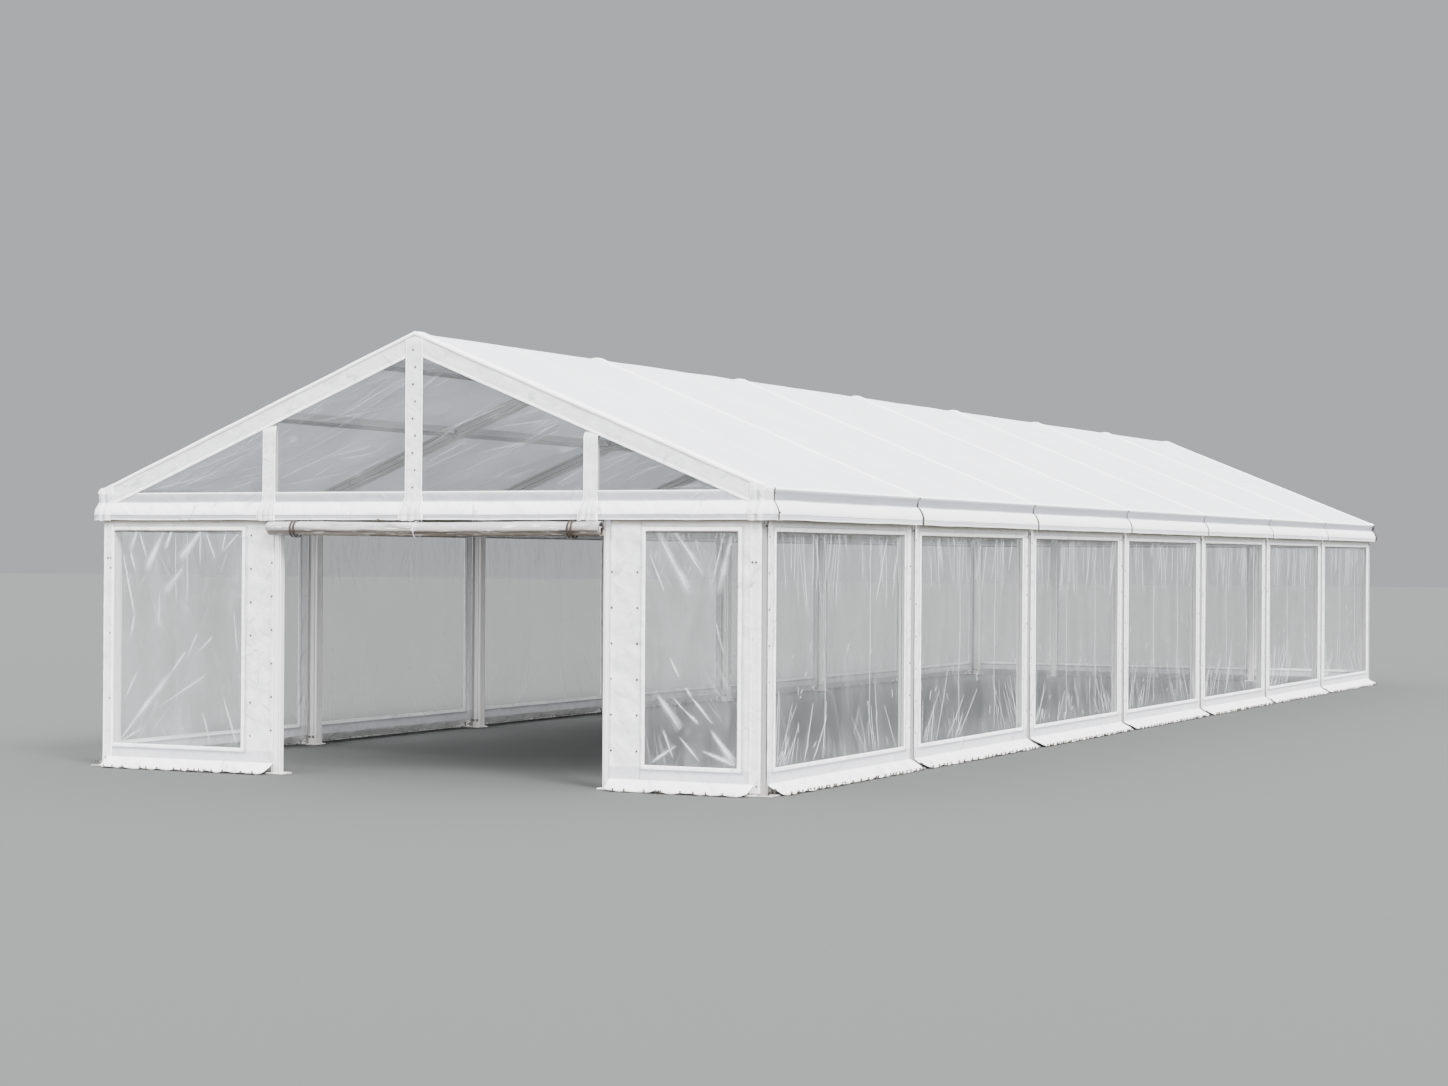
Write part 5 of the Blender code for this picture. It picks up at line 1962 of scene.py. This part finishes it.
@dataclass
class SideWall(Part):
    """The seven panels of one long wall with their windows."""

    side: Side
    leg_strip: float = 0.10
    border: float = 0.14

    def build(self) -> None:
        """Build the panels and films, numbered from the doorway."""
        tent = self.tent
        word = self.side.name.lower()
        for bay in range(tent.bay_count):
            number = bay + 1 if self.side is Side.RIGHT else tent.bay_count - bay
            start = tent.frame_y(bay) + self.leg_strip / 2
            end = tent.frame_y(bay + 1) - self.leg_strip / 2
            window = (start + self.border, end - self.border)
            held_by = tuple(f"portal_frame_{number + step}_extrusion" for step in (0, 1))
            cloth = WallPanel(f"{word}_wall_panel_{number}", tent, self.kit, self.side, tent.half_span, start,
                              end,
                              (window,), tent.side_panel_top, held_by=held_by).build()
            pane = FilmPane(100 * self.side.value + number, *window, tent.sill, tent.window_head, cell=0.028)
            WindowFilm(f"{word}_window_film_{number}", tent, self.side, tent.half_span, [pane],
                       stands_for=(f"{word}_wall_film",)).build([cloth.name])


@dataclass
class GableWalls(Part):
    """The panels beside the doorway and the closed wall at the back."""

    corner_strip: float = 0.05
    post_lap: float = 0.02
    left_corner_border: float = 0.05
    right_corner_border: float = 0.14
    left_door_border: float = 0.31
    right_door_border: float = 0.30
    back_border: float = 0.08
    cover_width: float = 0.092

    @staticmethod
    def end_frame(side: Side) -> str:
        """The portal frame that stands in a gable."""
        return f"portal_frame_{1 if side is Side.FRONT else 8}_extrusion"

    def dress(self, name: str, film: str, side: Side, start: float, end: float,
              windows: tuple[tuple[float, float], ...], gathering: Gathering,
              columns: tuple[float, ...] = (), seams: tuple[float, ...] = ()) -> None:
        """Build one panel and its film."""
        tent = self.tent
        cloth = WallPanel(name, tent, self.kit, side, tent.gable_plane, start, end, windows,
                          tent.gable_panel_top,
                          eyelet_columns=columns, seams=seams, held_by=(self.end_frame(side),)).build()
        drawn = {"front_wall_panel_left": LEFT_FOLDS, "front_wall_panel_right": RIGHT_FOLDS}.get(name, ())
        panes = [FilmPane(seed_of(name) + order, low, high, tent.sill, tent.window_head, gathering, drawn,
                          0.014 if drawn else 0.030) for order, (low, high) in enumerate(windows)]
        finish = CORNER_FILM if gathering is Gathering.CORNER else WALL_FILM
        WindowFilm(f"{film}_pane", tent, side, tent.gable_plane, panes, finish, (film,)).build([cloth.name])

    def build(self) -> None:
        """Build the two front panels and the back wall."""
        tent = self.tent
        corner = tent.half_span - self.corner_strip
        left_end = tent.left_post - tent.post_width / 2 + self.post_lap
        right_start = tent.right_post + tent.post_width / 2 - self.post_lap
        self.dress("front_wall_panel_left", "front_film_left", Side.FRONT, -corner, left_end,
                   ((self.left_corner_border - corner, left_end - self.left_door_border),), Gathering.CORNER,
                   (left_end - 0.22,))
        self.dress("front_wall_panel_right", "front_film_right", Side.FRONT, right_start, corner,
                   ((right_start + self.right_door_border, corner - self.right_corner_border),),
                   Gathering.CORNER,
                   (right_start + 0.235,), (right_start + 0.262,))
        half = self.back_border
        edges = (half - corner, tent.left_post - half, tent.left_post + half, tent.right_post - half,
                 tent.right_post + half, corner - half)
        self.dress("back_wall_panel", "back_wall_film", Side.BACK, -corner, corner,
                   ((edges[0], edges[1]), (edges[2], edges[3]), (edges[4], edges[5])), Gathering.WALL,
                   (tent.left_post, tent.right_post))
        for side in (Side.FRONT, Side.BACK):
            for hand in (-1, 1):
                self.corner_cover(side, hand)

    def corner_cover(self, side: Side, hand: int) -> None:
        """Hang a narrow cover strip over a corner leg's gable face."""
        tent = self.tent
        low, high = sorted((hand * (tent.half_span - self.cover_width), hand * (tent.half_span + 0.001)))
        inset = np.array([0.0, 0.004, 0.016, 0.02])
        across = np.concatenate([low + inset, np.linspace(low + 0.03, high - 0.03, 4), (high - inset)[::-1]])
        u, z = np.meshgrid(across, fill_lines([0.022, 0.03, *HEM_SHADOW_LINES, 2.13], 0.04))
        edge = np.minimum(u - low, high - u)
        ripple = Ripple(seed_of(side.name) + hand, 0.14, 0.7, 0.5)(u, z)
        out = tent.gable_face + 0.0035 + 0.0012 * (edge < 0.017) + 0.002 * ripple
        out = out - 0.005 * (edge < 0.002)
        # Painted highlight on the raised edges, and painted shadow under the roof's hem.
        masks = {"bright": 0.8 * (edge < 0.017), "stain": np.clip(painted_hem_shadow(z), 0, 0.85)}
        hang(f"{side.name.lower()}_corner_cover_{HAND[hand]}", side.place(u, out, z), masks, 0.003,
             flat=(high - low, 2.108), held="hung", rests_on=[self.end_frame(side)])
        spots = np.array([hand * (tent.half_span - 0.072), hand * (tent.half_span - 0.042)])
        self.kit.eyelets.add(side.place(spots, tent.gable_face + 0.0045, 1.73), side.turn)


# Gables


@dataclass
class GableFrame(Part):
    """The gable's beam, door posts on feet, uprights and king post, as grooved extrusions."""

    side: Side
    king_width: float = 0.06
    foot_length: float = 0.16
    foot_width: float = 0.14
    foot_thickness: float = 0.012

    def post(self, draft: Draft, centre: float, width: float, low: float,
             head: Callable[[Array], Array]) -> None:
        """Add an upright bar whose head follows a line."""
        tent = self.tent
        outline = Section(width, tent.post_depth, groove_inset=0.012, side_grooves=False).outline()
        across, out = centre + outline[:, 0], tent.gable_plane - outline[:, 1]
        draft.bar([self.side.place(across, out, low), self.side.place(across, out, head(across))])

    def beam(self, draft: Draft) -> None:
        """Add the beam between the corner legs."""
        tent = self.tent
        reach = tent.half_span - tent.member_depth - tent.gap
        outline = Section(tent.beam_depth, tent.post_depth, groove_inset=0.014, side_grooves=False).outline()
        middle = tent.beam_top - tent.beam_depth / 2
        draft.bar([self.side.place(end, tent.gable_plane - outline[:, 1], middle + outline[:, 0])
                   for end in (-reach, reach)])

    def build(self) -> None:
        """Build the gable frame."""
        tent = self.tent
        draft = Draft()
        beam_foot = tent.beam_top - tent.beam_depth
        middle = tent.gable_plane - tent.frame_width / 2
        for post in (tent.left_post, tent.right_post):
            self.post(draft, post, tent.post_width, self.foot_thickness / 2,
                      lambda u: np.full(len(u), beam_foot))
            ends = np.array([-0.5, 0.5])
            draft.box(*self.side.span(post + self.foot_length * ends, middle + self.foot_width * ends,
                                      np.array([0.0, self.foot_thickness])), 0.003)
            spots = self.side.place(post + np.array([-0.06, 0.06]), middle - 0.045, self.foot_thickness)
            self.kit.bolts.add(spots, (0.0, 0.0, 0.0))
        for upright in (tent.left_upright, tent.right_upright):
            self.post(draft, upright, tent.post_width, tent.beam_top, tent.rafter_foot)
        self.post(draft, 0.0, self.king_width, tent.beam_top, tent.rafter_foot)
        self.beam(draft)
        node = f"{self.side.name.lower()}_gable_frame"
        settle(f"{node}_extrusion", draft, FRAME_METAL, [node])


@dataclass
class GableCover(Part):
    """A gable's fascia with wrapped corners, its rake borders, cover strips and four clear panes."""

    side: Side
    sill: float = 2.26
    border: float = 0.17
    king_strip: float = 0.155
    strip: float = 0.12
    wrap_start: float = 3.028
    wrap_radius: float = 0.034
    wrap_side: float = 0.020
    corner_start: float = 2.905
    rake_end: float = 2.99
    film_lap: float = 0.02

    @property
    def word(self) -> str:
        """Front or back."""
        return self.side.name.lower()

    def wrapped(self, distance: Array, flare: Array) -> tuple[Array, Array]:
        """Carry a distance along the fascia round the tent's corner.

        Args:
            distance: Distance from the middle along the cloth.
            flare: How far the cloth stands off its upright face.

        Returns:
            The places across and out.
        """
        hand, reach = np.sign(distance), np.abs(distance)
        face = self.tent.gable_face
        angle = np.clip((reach - self.wrap_start) / self.wrap_radius, 0, math.pi / 2)
        past = np.maximum(reach - self.wrap_start - self.wrap_radius * math.pi / 2, 0)
        across = np.minimum(reach, self.wrap_start) + self.wrap_radius * np.sin(angle) + flare * np.sin(angle)
        out = face - self.wrap_radius * (1 - np.cos(angle)) - past + flare * np.cos(angle)
        return hand * across, out

    @property
    def cloth_end(self) -> float:
        """Distance along the fascia to its end, past the tent's corner."""
        return self.wrap_start + self.wrap_radius * math.pi / 2 + self.wrap_side

    @property
    def hem(self) -> Array:
        """The fascia's flares and heights, from its hem up."""
        return np.array([(flare, self.tent.eave - drop) for flare, drop in RoofCover.FASCIA])

    @property
    def tip(self) -> float:
        """Distance from the middle at which the clear panes run out."""
        return float((self.tent.roof_top(0.0) - self.border - self.sill) / self.tent.slope)

    def bend_lines(self, hand: int) -> list[float]:
        """Lines across the fascia where it turns round a corner."""
        return [hand * (self.wrap_start + self.wrap_radius * step * math.pi / 12) for step in range(1, 7)]

    def cloth(self, word: str, points: Array, masks: dict[str, Array], wall: float, flat: tuple[float, float],
              held: str, rests_on: str) -> None:
        """Hang one white sheet of this gable, which rests on another of its pieces."""
        hang(f"{self.word}_gable_{word}", points, masks, wall, [f"{self.word}_gable_cover"], flat=flat,
             held=held,
             rests_on=[f"{self.word}_gable_{rests_on}"])

    def fascia(self) -> None:
        """Build the band below the windows with its flare, hem and wrapped corners."""
        tent = self.tent
        distance = fill_lines([-self.cloth_end, -self.wrap_start, 0.0, self.wrap_start, self.cloth_end,
                               *self.bend_lines(-1), *self.bend_lines(1)], 0.05)
        flare, height = np.hsplit(np.vstack([self.hem, (0.0005, self.sill + 0.008)]), 2)
        drape = smooth_step((tent.eave - height) / 0.14)
        seed = 400 + self.side.value
        folds = Ripple(seed, 0.16, 1.0, 0.5)(distance, height * 1.5)
        broad = Ripple(seed + 1, 0.9)(distance, height)
        across, out = self.wrapped(distance, flare + 0.0014 * folds + 0.0035 * broad * drape)
        z = height + 0.003 * drape * Ripple(seed + 2, 0.5)(distance, 0.0)
        corner = smooth_step((np.abs(distance) - self.wrap_start + 0.05) / 0.05)
        z = z + np.where(height > self.sill, 0.014 * corner, 0.0)
        self.cloth("fascia", self.side.place(across, out, z), self.bands(height + 0.0 * z), 0.004,
                   (2 * self.cloth_end, 0.25), "hung", "frame_extrusion")

    def bands(self, height: Array) -> dict[str, Array]:
        """Masks of the fascia's painted highlight bands and painted shade bands, by height."""
        drop = self.tent.eave - height
        bright = RoofCover.band(drop, 0.094, 0.190) + RoofCover.band(drop, 0.226, 0.24) + (drop < 0.018)
        dull = 0.85 * RoofCover.band(drop, 0.022, 0.090) + 0.85 * RoofCover.band(drop, 0.196, 0.224)
        return {"bright": np.clip(0.9 * bright, 0, 1), "dull": dull}

    def corner(self, hand: int) -> None:
        """Build the pleated piece that carries the fascia's end round the tent's corner."""
        tent = self.tent
        end = self.cloth_end + 0.003
        marks = [self.corner_start, self.corner_start + 0.006, self.wrap_start, end - 0.006, end,
                 *self.bend_lines(1)]
        distance = np.sort(hand * fill_lines(marks, 0.009))
        reach = np.abs(distance)[None, :]
        base = self.hem[-1, 1]
        top = tent.roof_top(np.minimum(reach, tent.roof_edge)) + 0.005 + 0.010 * bell(reach - 3.03, 0.02)
        share = np.linspace(0, 1, 7)[1:, None]
        low_flare, low_height = (np.repeat(part, len(distance), axis=1) for part in np.hsplit(self.hem, 2))
        height = np.vstack([low_height, base + share * (top - base)])
        flare = np.vstack([low_flare, np.full((len(share), len(distance)), 0.0012)])
        loose = smooth_step((2.33 - height) / 0.22)
        seed = 470 + hand + self.side.value
        sway = 0.006 * Ripple(seed, 0.3)(height, 0.0)
        pleats = sum(size * bell(reach + sway - spot, wide)
                     for spot, wide, size in ((2.945, 0.018, 0.010), (3.005, 0.020, 0.016)))
        uneven = flare + 0.0085 + loose * pleats + 0.0015 * Ripple(seed + 3, 0.09, 2.0)(distance, height)
        across, out = self.wrapped(distance, uneven)
        z = height - 0.005 * smooth_step((2.1 - height) / 0.05) * (1 + Ripple(seed + 5, 0.08)(distance, 0.0))
        rim = np.minimum(reach - self.corner_start, end - reach)
        bands = self.bands(height)
        # Painted shade between the pleats and along the fold line, painted highlight on the rims and flare,
        # and painted shadow under the hem.
        dull = (bands["dull"] * 0.3 + 0.55 * loose * smooth_step(1 - pleats / 0.006)
                + 0.7 * bell(reach - 2.975, 0.010))
        masks = {"bright": np.clip(bands["bright"] * 0.6 + 0.6 * (rim < 0.007), 0, 1),
                 "dull": np.clip(dull, 0, 1),
                 "stain": 0.7 * (height < 2.0475)}
        self.cloth(f"corner_{HAND[hand]}", self.side.place(across, out, z), masks, 0.003,
                   (end - self.corner_start, 0.33), "gathered", "fascia")

    def corner_cord(self, hand: int) -> None:
        """Run a narrow dark strap down the side of the corner piece, as painted shadow for the slit there,
        with a pin at each end.
        """
        tent = self.tent
        corners = np.array([[-1, -1], [-0.6, 1], [0.6, 1], [1, -1]]) * (0.007, 0.0035)
        rings = []
        for flare, height in [*self.hem, (0.012, tent.eave + 0.005)]:
            across = tent.roof_edge + flare + 0.0135
            rings.append(self.side.place(hand * (across + corners[:, 1]),
                                         tent.gable_plane - 0.050 + corners[:, 0],
                                         height))
        draft = Draft()
        draft.bar(rings)
        settle(f"{self.word}_corner_cord_{HAND[hand]}", draft, STRAP)
        spots = np.array([[hand * (tent.roof_edge + 0.055), 2.10], [hand * (tent.roof_edge + 0.012), 2.245]])
        self.kit.pins.add(self.side.place(spots[:, 0], tent.gable_plane - 0.051, spots[:, 1]),
                          (Side.RIGHT if (hand > 0) == (self.side is Side.FRONT) else Side.LEFT).turn)

    def rake(self) -> None:
        """Build the border under both rafters, up to the ridge."""
        tent = self.tent
        across = fill_lines([-self.rake_end, -self.tip, 0.0, self.tip, self.rake_end], 0.05)
        share = np.concatenate([[0.0, 0.02, 0.14, 0.17], np.linspace(0.3, 0.80, 6),
                                [0.84, 0.88, 0.92, 0.96, 1.0]])
        u, share = np.meshgrid(across, share)
        low = np.maximum(2.185, tent.roof_top(across) - self.border)
        high = tent.roof_top(across) - 0.004
        z = low + share * (high - low)
        seed = 430 + self.side.value
        out = 0.0022 * Ripple(seed, 0.10, 2.5, 0.4)(u, z) + 0.003 * Ripple(seed + 1, 0.5)(u, z)
        calm = smooth_step(np.minimum(share, 1 - share) / 0.3)
        out = out * calm + 0.0015 * (share < 0.16) + 0.004 * bell(share - 0.97, 0.05)
        out = out + 0.0045 * smooth_step((np.abs(u) - self.tip + 0.12) / 0.1)
        # Painted shade over the whole border with darker fold lines near both edges, and painted highlight on
        # the rolled edges.
        dull = 0.10 + 0.75 * bell(share - 0.885, 0.03) + 0.5 * bell(share - 0.19, 0.03)
        face = tent.gable_face - 0.0005
        self.cloth("border", self.side.place(u, face + out, z),
                   {"bright": 0.9 * ((share < 0.16) | (share > 0.93)), "dull": dull}, 0.004,
                   (float(np.trapz(high - low, across)) / self.border, self.border), "stretched",
                   "frame_extrusion")

    def cover_strip(self, word: str, centre: float, width: float, head: float) -> None:
        """Build an upright strip from the roof line down over the fascia, ending in three pleats."""
        tent = self.tent
        heights = np.concatenate([self.hem[:, 1] + 0.0015, fill_lines([2.29, 2.31, head], 0.05)])
        flare = np.concatenate([self.hem[:, 0], np.zeros(len(heights) - len(self.hem))])
        edge_lines = np.array([0.74, 0.80, 0.86, 0.96, 1.0])
        s, z = np.meshgrid(np.concatenate([-edge_lines[::-1], np.linspace(-0.66, 0.66, 17), edge_lines]),
                           heights)
        drop = smooth_step((2.26 - z) / 0.2)
        u = centre + s * (width / 2 * (1 + 0.5 * drop))
        seed = seed_of(word)
        sway = 0.10 * Ripple(seed + 1, 0.25)(z, 0.0)
        pleat = sum(size * bell(s + sway - spot, wide)
                    for spot, wide, size in ((-0.58, 0.24, 0.014), (0.10, 0.16, 0.009), (0.66, 0.22, 0.015)))
        stand = 0.006 + 0.0012 * (np.abs(s) > 0.84) + pleat * drop + 0.003 * drop
        stand = stand + 0.0018 * Ripple(seed, 0.12, 0.6)(u, z) * (1 - np.abs(s) ** 6)
        out = tent.gable_face + flare[:, None] + stand - 0.02 * smooth_step((z - head + 0.03) / 0.03)
        # Painted shade in the lines inside the edges and between the pleats, painted highlight on the edges
        # and painted shadow under the hem.
        dull = 0.7 * bell(np.abs(s) - 0.79, 0.035) + 0.10 + 0.6 * drop * smooth_step(1 - pleat / 0.005)
        masks = {"bright": 0.95 * (np.abs(s) > 0.84), "stain": 0.4 * (z < 2.05), "dull": np.clip(dull, 0, 1)}
        lip = 0.006 * smooth_step((2.11 - z) / 0.06) * (1 + Ripple(seed + 2, 0.09)(u, 0.0))
        z = z - 0.018 * np.abs(s) * smooth_step((z - head + 0.1) / 0.1) - lip
        self.cloth(f"strip_{word}", self.side.place(u, out, z), masks, 0.004,
                   (width * 1.08, head - tent.hem_height), "hung", "border")

    def verge(self) -> None:
        """Build the rolled hem along the roof's end, over both rafters."""
        tent = self.tent
        out = tent.gable_face + 0.003
        angles = np.linspace(0, 2 * math.pi, 12, endpoint=False)
        section = np.stack([0.011 * np.cos(angles) - 0.004, 0.016 * np.sin(angles) - 0.013], axis=-1)
        rings = []
        for across in fill_lines([-3.058, 0.0, 3.058], 0.16):
            lift = 0.0012 * math.sin(across * 9.0)
            height = tent.roof_top(across) + (section[:, 1] + lift) / math.cos(tent.pitch) + 0.004
            rings.append(self.side.place(across, out + section[:, 0], height))
        draft = Draft()
        # Painted highlight all over the rolled hem.
        draft.bar(rings, {"bright": 1.0})
        settle(f"{self.word}_verge_hem", draft, ROOF_WHITE, angle=math.radians(60))

    def films(self) -> None:
        """Build the four clear panes of the gable as one piece."""
        tent = self.tent
        king, strip = self.king_strip / 2, self.strip / 2
        spans = [(-self.tip, tent.left_upright - strip), (tent.left_upright + strip, -king),
                 (king, tent.right_upright - strip), (tent.right_upright + strip, self.tip)]
        panes = [FilmPane(500 + 10 * self.side.value + order, low, high, self.sill,
                          lambda u: tent.roof_top(u) - self.border, Gathering.GABLE, lap=self.film_lap)
                 for order, (low, high) in enumerate(spans)]
        name = f"{self.word}_gable_film"
        WindowFilm(f"{name}_panes", tent, self.side, tent.gable_plane, panes, GABLE_FILM, (name,)).build(
            [f"{self.word}_gable_border"])

    def lacing(self) -> None:
        """Set the staggered eyelets of the king strip."""
        tent = self.tent
        heights = np.arange(2.30, 3.40, 0.135)
        across = np.where(np.arange(len(heights)) % 2, 0.012, -0.010)
        out = tent.gable_face + 0.007
        self.kit.eyelets.add(self.side.place(across, out, heights), self.side.turn)

    def build(self) -> None:
        """Build everything on this gable."""
        tent = self.tent
        self.rake()
        self.fascia()
        for hand in (-1, 1):
            self.corner(hand)
            self.corner_cord(hand)
        self.cover_strip("king", 0.0, self.king_strip, float(tent.roof_top(0.0)) - 0.004)
        for word, centre in (("left", tent.left_upright), ("right", tent.right_upright)):
            self.cover_strip(word, centre, self.strip, float(tent.roof_top(centre)) - 0.15)
        self.verge()
        self.films()
        self.lacing()


# Door curtain


@dataclass
class DoorRoll(Part):
    """The door curtain rolled up under the beam, with its straps, tie and clip."""

    radius: float = 0.065
    core: float = 0.014
    turns: float = 2.4
    strap_inset: float = 0.25
    strap_width: float = 0.017
    strap_gap: float = 0.014
    strap_thickness: float = 0.003

    @property
    def start(self) -> float:
        """Left end of the roll."""
        return self.tent.left_post - self.tent.post_width / 2 + 0.0203

    @property
    def end(self) -> float:
        """Right end of the roll."""
        return self.tent.right_post - self.tent.post_width / 2 + 0.0197

    @property
    def axis(self) -> tuple[float, float]:
        """How far out and how high the roll's axis is."""
        ring = self.radius + self.tent.gap + self.strap_thickness
        return self.tent.gable_plane + self.tent.gap + ring, self.tent.hem_height - 0.004 - ring

    def sag(self, across: Array) -> Array:
        """How far the roll hangs between its straps."""
        return 0.007 * np.sin(math.pi * (across - self.start) / (self.end - self.start)) ** 2

    def roll(self) -> None:
        """Build the wound film."""
        out, height = self.axis
        across = np.concatenate([[0.0, 0.004, 0.012], fill_lines([0.03, 0.97], 0.018), [0.988, 0.996, 1.0]])
        across = self.start + across * (self.end - self.start)
        steps = int(self.turns * 26)
        share = np.linspace(0, 1, steps)[:, None]
        angle = math.radians(130) - share * self.turns * 2 * math.pi
        bumps = Ripple(610, 0.35, 0.14)(across[None, :], angle * self.radius)
        pinch = sum(bell(across - spot, 0.03) for spot in self.straps())[None, :]
        radius = self.core + (self.radius - 0.002 - self.core) * share ** 0.9
        radius = radius + share * (0.0022 * bumps - 0.0015 * pinch) - 0.002 * share
        y_out = out + radius * np.cos(angle)
        z = height + radius * np.sin(angle) - self.sag(across)[None, :]
        draft = Draft()
        flat = np.stack(np.broadcast_arrays(across[None, :], share * 1.2), axis=-1)
        # Painted shade in the inner turns, where the roll's end opens.
        inside = smooth_step((0.60 - share) / 0.04) * smooth_step((share - 0.22) / 0.04) + 0.0 * y_out
        draft.grid(Side.FRONT.place(across[None, :], y_out, z), None, {"inside": inside}, flat)
        item = settle("door_roll_film", draft, ROLLED, ["door_roll"], 0.004, math.radians(50))

    def straps(self) -> tuple[float, float]:
        """Centres of the two straps."""
        return self.start + self.strap_inset, self.end - self.strap_inset

    def strap(self, draft: Draft, centre: float, width: float, top: float) -> None:
        """Add one loop: from the beam down behind the roll, once round it and up again."""
        out, height = self.axis
        ring = self.radius + self.tent.gap + self.strap_thickness
        around = np.linspace(math.pi, 3 * math.pi - 0.25, 40)
        points = [(out - ring, top), (out - ring, (top + height) / 2 + 0.03)]
        points += [(out + ring * math.cos(angle), height + ring * math.sin(angle)) for angle in around]
        path = np.array(points)
        lower = self.sag(np.array(centre))
        path[2:, 1] -= float(lower)
        across = np.array([-0.5, -0.42, 0.42, 0.5]) * width + centre
        draft.grid(Side.FRONT.place(across[None, :], path[:, :1], path[:, 1:]))

    def build(self) -> None:
        """Build the roll, its straps, the thin tie and the clip."""
        self.roll()
        for word, centre in zip(("left", "right"), self.straps()):
            draft = Draft()
            for side in (-1, 1):
                middle = centre + side * (self.strap_width + self.strap_gap) / 2
                self.strap(draft, middle, self.strap_width, self.tent.beam_top - 0.03)
            settle(f"roll_strap_{word}_loops", draft, STRAP, [f"roll_strap_{word}"], 0.0025)
        tie = Draft()
        self.strap(tie, 0.07, 0.007, self.tent.hem_height + 0.02)
        settle("roll_tie", tie, WHITE, wall=0.002)
        clip = Draft()
        out, height = self.axis
        clip.box(*Side.FRONT.span(np.array([-0.302, -0.278]), out + np.array([-0.008, 0.012]),
                                  height + self.radius + np.array([-0.006, 0.014])), 0.003)
        settle("roll_clip", clip, DARK_STEEL)


# Small things on the covers


@dataclass
class EaveFittings(Part):
    """Pins and brackets at the slits between two valances."""


    def build(self) -> None:
        """Set a top pin, a foot pin and a bracket at every frame on both eaves."""
        tent = self.tent
        brackets = Draft()
        for number in range(tent.bay_count + 1):
            y = tent.frame_y(number)
            for hand, side in ((-1, Side.LEFT), (1, Side.RIGHT)):
                self.kit.pins.add(np.array([(hand * (tent.roof_edge + 0.002), y, tent.eave - 0.012)]),
                                  side.turn)
                self.kit.pins.add(np.array([(hand * (tent.half_span + 0.012), y, 2.0)]), side.turn)
                low, high = sorted((hand * (tent.half_span - 0.002), hand * (tent.half_span + 0.012)))
                brackets.box((low, y - 0.016, 1.985), (high, y + 0.016, 2.10), 0.003)
        settle("eave_brackets", brackets, FRAME_METAL)


# Studio


@dataclass
class Studio:
    """Plain floor, soft light and the photograph's camera."""

    eye: tuple[float, float, float] = (11.336, -28.908, 1.766)
    yaw: float = math.radians(25.22)
    pitch: float = math.radians(0.30)
    roll: float = math.radians(0.34)
    lens: float = 67.917
    floor_half: float = 160.0
    sun_energy: float = 7.0
    sun_angle: float = math.radians(18)
    sun_turn: tuple[float, float, float] = (math.radians(50), 0.0, math.radians(54))
    sky_colours: tuple[Colour, ...] = ((0.50, 0.51, 0.53), (4.2, 4.2, 4.25), (4.6, 4.65, 4.8))

    def camera(self) -> None:
        """Place the camera as the photograph has it."""
        forward = Vector((-math.sin(self.yaw) * math.cos(self.pitch),
                          math.cos(self.yaw) * math.cos(self.pitch),
                          math.sin(self.pitch)))
        level = Vector((math.cos(self.yaw), math.sin(self.yaw), 0.0))
        above = level.cross(forward)
        right = level * math.cos(self.roll) + above * math.sin(self.roll)
        up = above * math.cos(self.roll) - level * math.sin(self.roll)
        data = bpy.data.cameras.new("photo_camera")
        data.sensor_width = 36.0
        data.lens = self.lens
        data.clip_start, data.clip_end = 0.1, 500.0
        camera = bpy.data.objects.new("photo_camera", data)
        bpy.context.scene.collection.objects.link(camera)
        axes = Matrix((right, up, -forward)).transposed()
        camera.matrix_world = Matrix.Translation(self.eye) @ axes.to_4x4()
        bpy.context.scene.camera = camera

    def floor(self) -> None:
        """Lay a plain pale floor."""
        reach = self.floor_half
        mesh = bpy.data.meshes.new("floor")
        mesh.from_pydata([(-reach, -reach, 0), (reach, -reach, 0), (reach, reach, 0), (-reach, reach, 0)], [],
                         [(0, 1, 2, 3)])
        material = bpy.data.materials.new("studio_floor")
        material.use_nodes = True
        NodeSheet(material.node_tree).dress(material.node_tree.nodes["Principled BSDF"],
                                            Base_Color=(0.088, 0.090, 0.087), Roughness=0.9,
                                            Specular_IOR_Level=0.1)
        mesh.materials.append(material)
        floor = bpy.data.objects.new("floor", mesh)
        bpy.context.scene.collection.objects.link(floor)

    def sky(self) -> None:
        """Light the studio from all round, more from above."""
        world = bpy.data.worlds.new("studio")
        world.use_nodes = True
        bpy.context.scene.world = world
        sheet = NodeSheet(world.node_tree)
        place = sheet.add("ShaderNodeTexCoord").outputs["Generated"]
        parts = sheet.parts(place)
        toward = sheet.math("SUBTRACT", sheet.times(parts[0], 0.43), sheet.times(parts[1], 0.90))
        behind, ahead, above = self.sky_colours
        low = sheet.blend(sheet.spread(toward, -0.8, 0.3), behind, ahead)
        colour = sheet.blend(sheet.spread(parts[2], 0.22, 0.75), low, above)
        sheet.dress(world.node_tree.nodes["Background"], Color=colour, Strength=1.0)

    def sun(self) -> None:
        """Hang one wide soft light high at the front right."""
        data = bpy.data.lights.new("soft_sun", "SUN")
        data.energy, data.angle = self.sun_energy, self.sun_angle
        lamp = bpy.data.objects.new("soft_sun", data)
        lamp.rotation_euler = self.sun_turn
        bpy.context.scene.collection.objects.link(lamp)

    def build(self) -> None:
        """Set up the studio."""
        self.camera()
        self.floor()
        self.sky()
        self.sun()


def main() -> None:
    """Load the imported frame, build the tent round it and set up the studio."""
    logging.basicConfig(level=logging.INFO, format="%(message)s")
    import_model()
    tent, kit = Tent(), Kit()
    Studio().build()
    PortalFrames(tent, kit).build()
    Purlins(tent, kit).build()
    for number in range(tent.bay_count):
        RoofCover(tent, kit, number).build()
    for side in (Side.LEFT, Side.RIGHT):
        SideWall(tent, kit, side).build()
    GableWalls(tent, kit).build()
    for side in (Side.FRONT, Side.BACK):
        GableFrame(tent, kit, side).build()
        GableCover(tent, kit, side).build()
    DoorRoll(tent, kit).build()
    EaveFittings(tent, kit).build()
    kit.build()


if __name__ == "__main__":
    main()
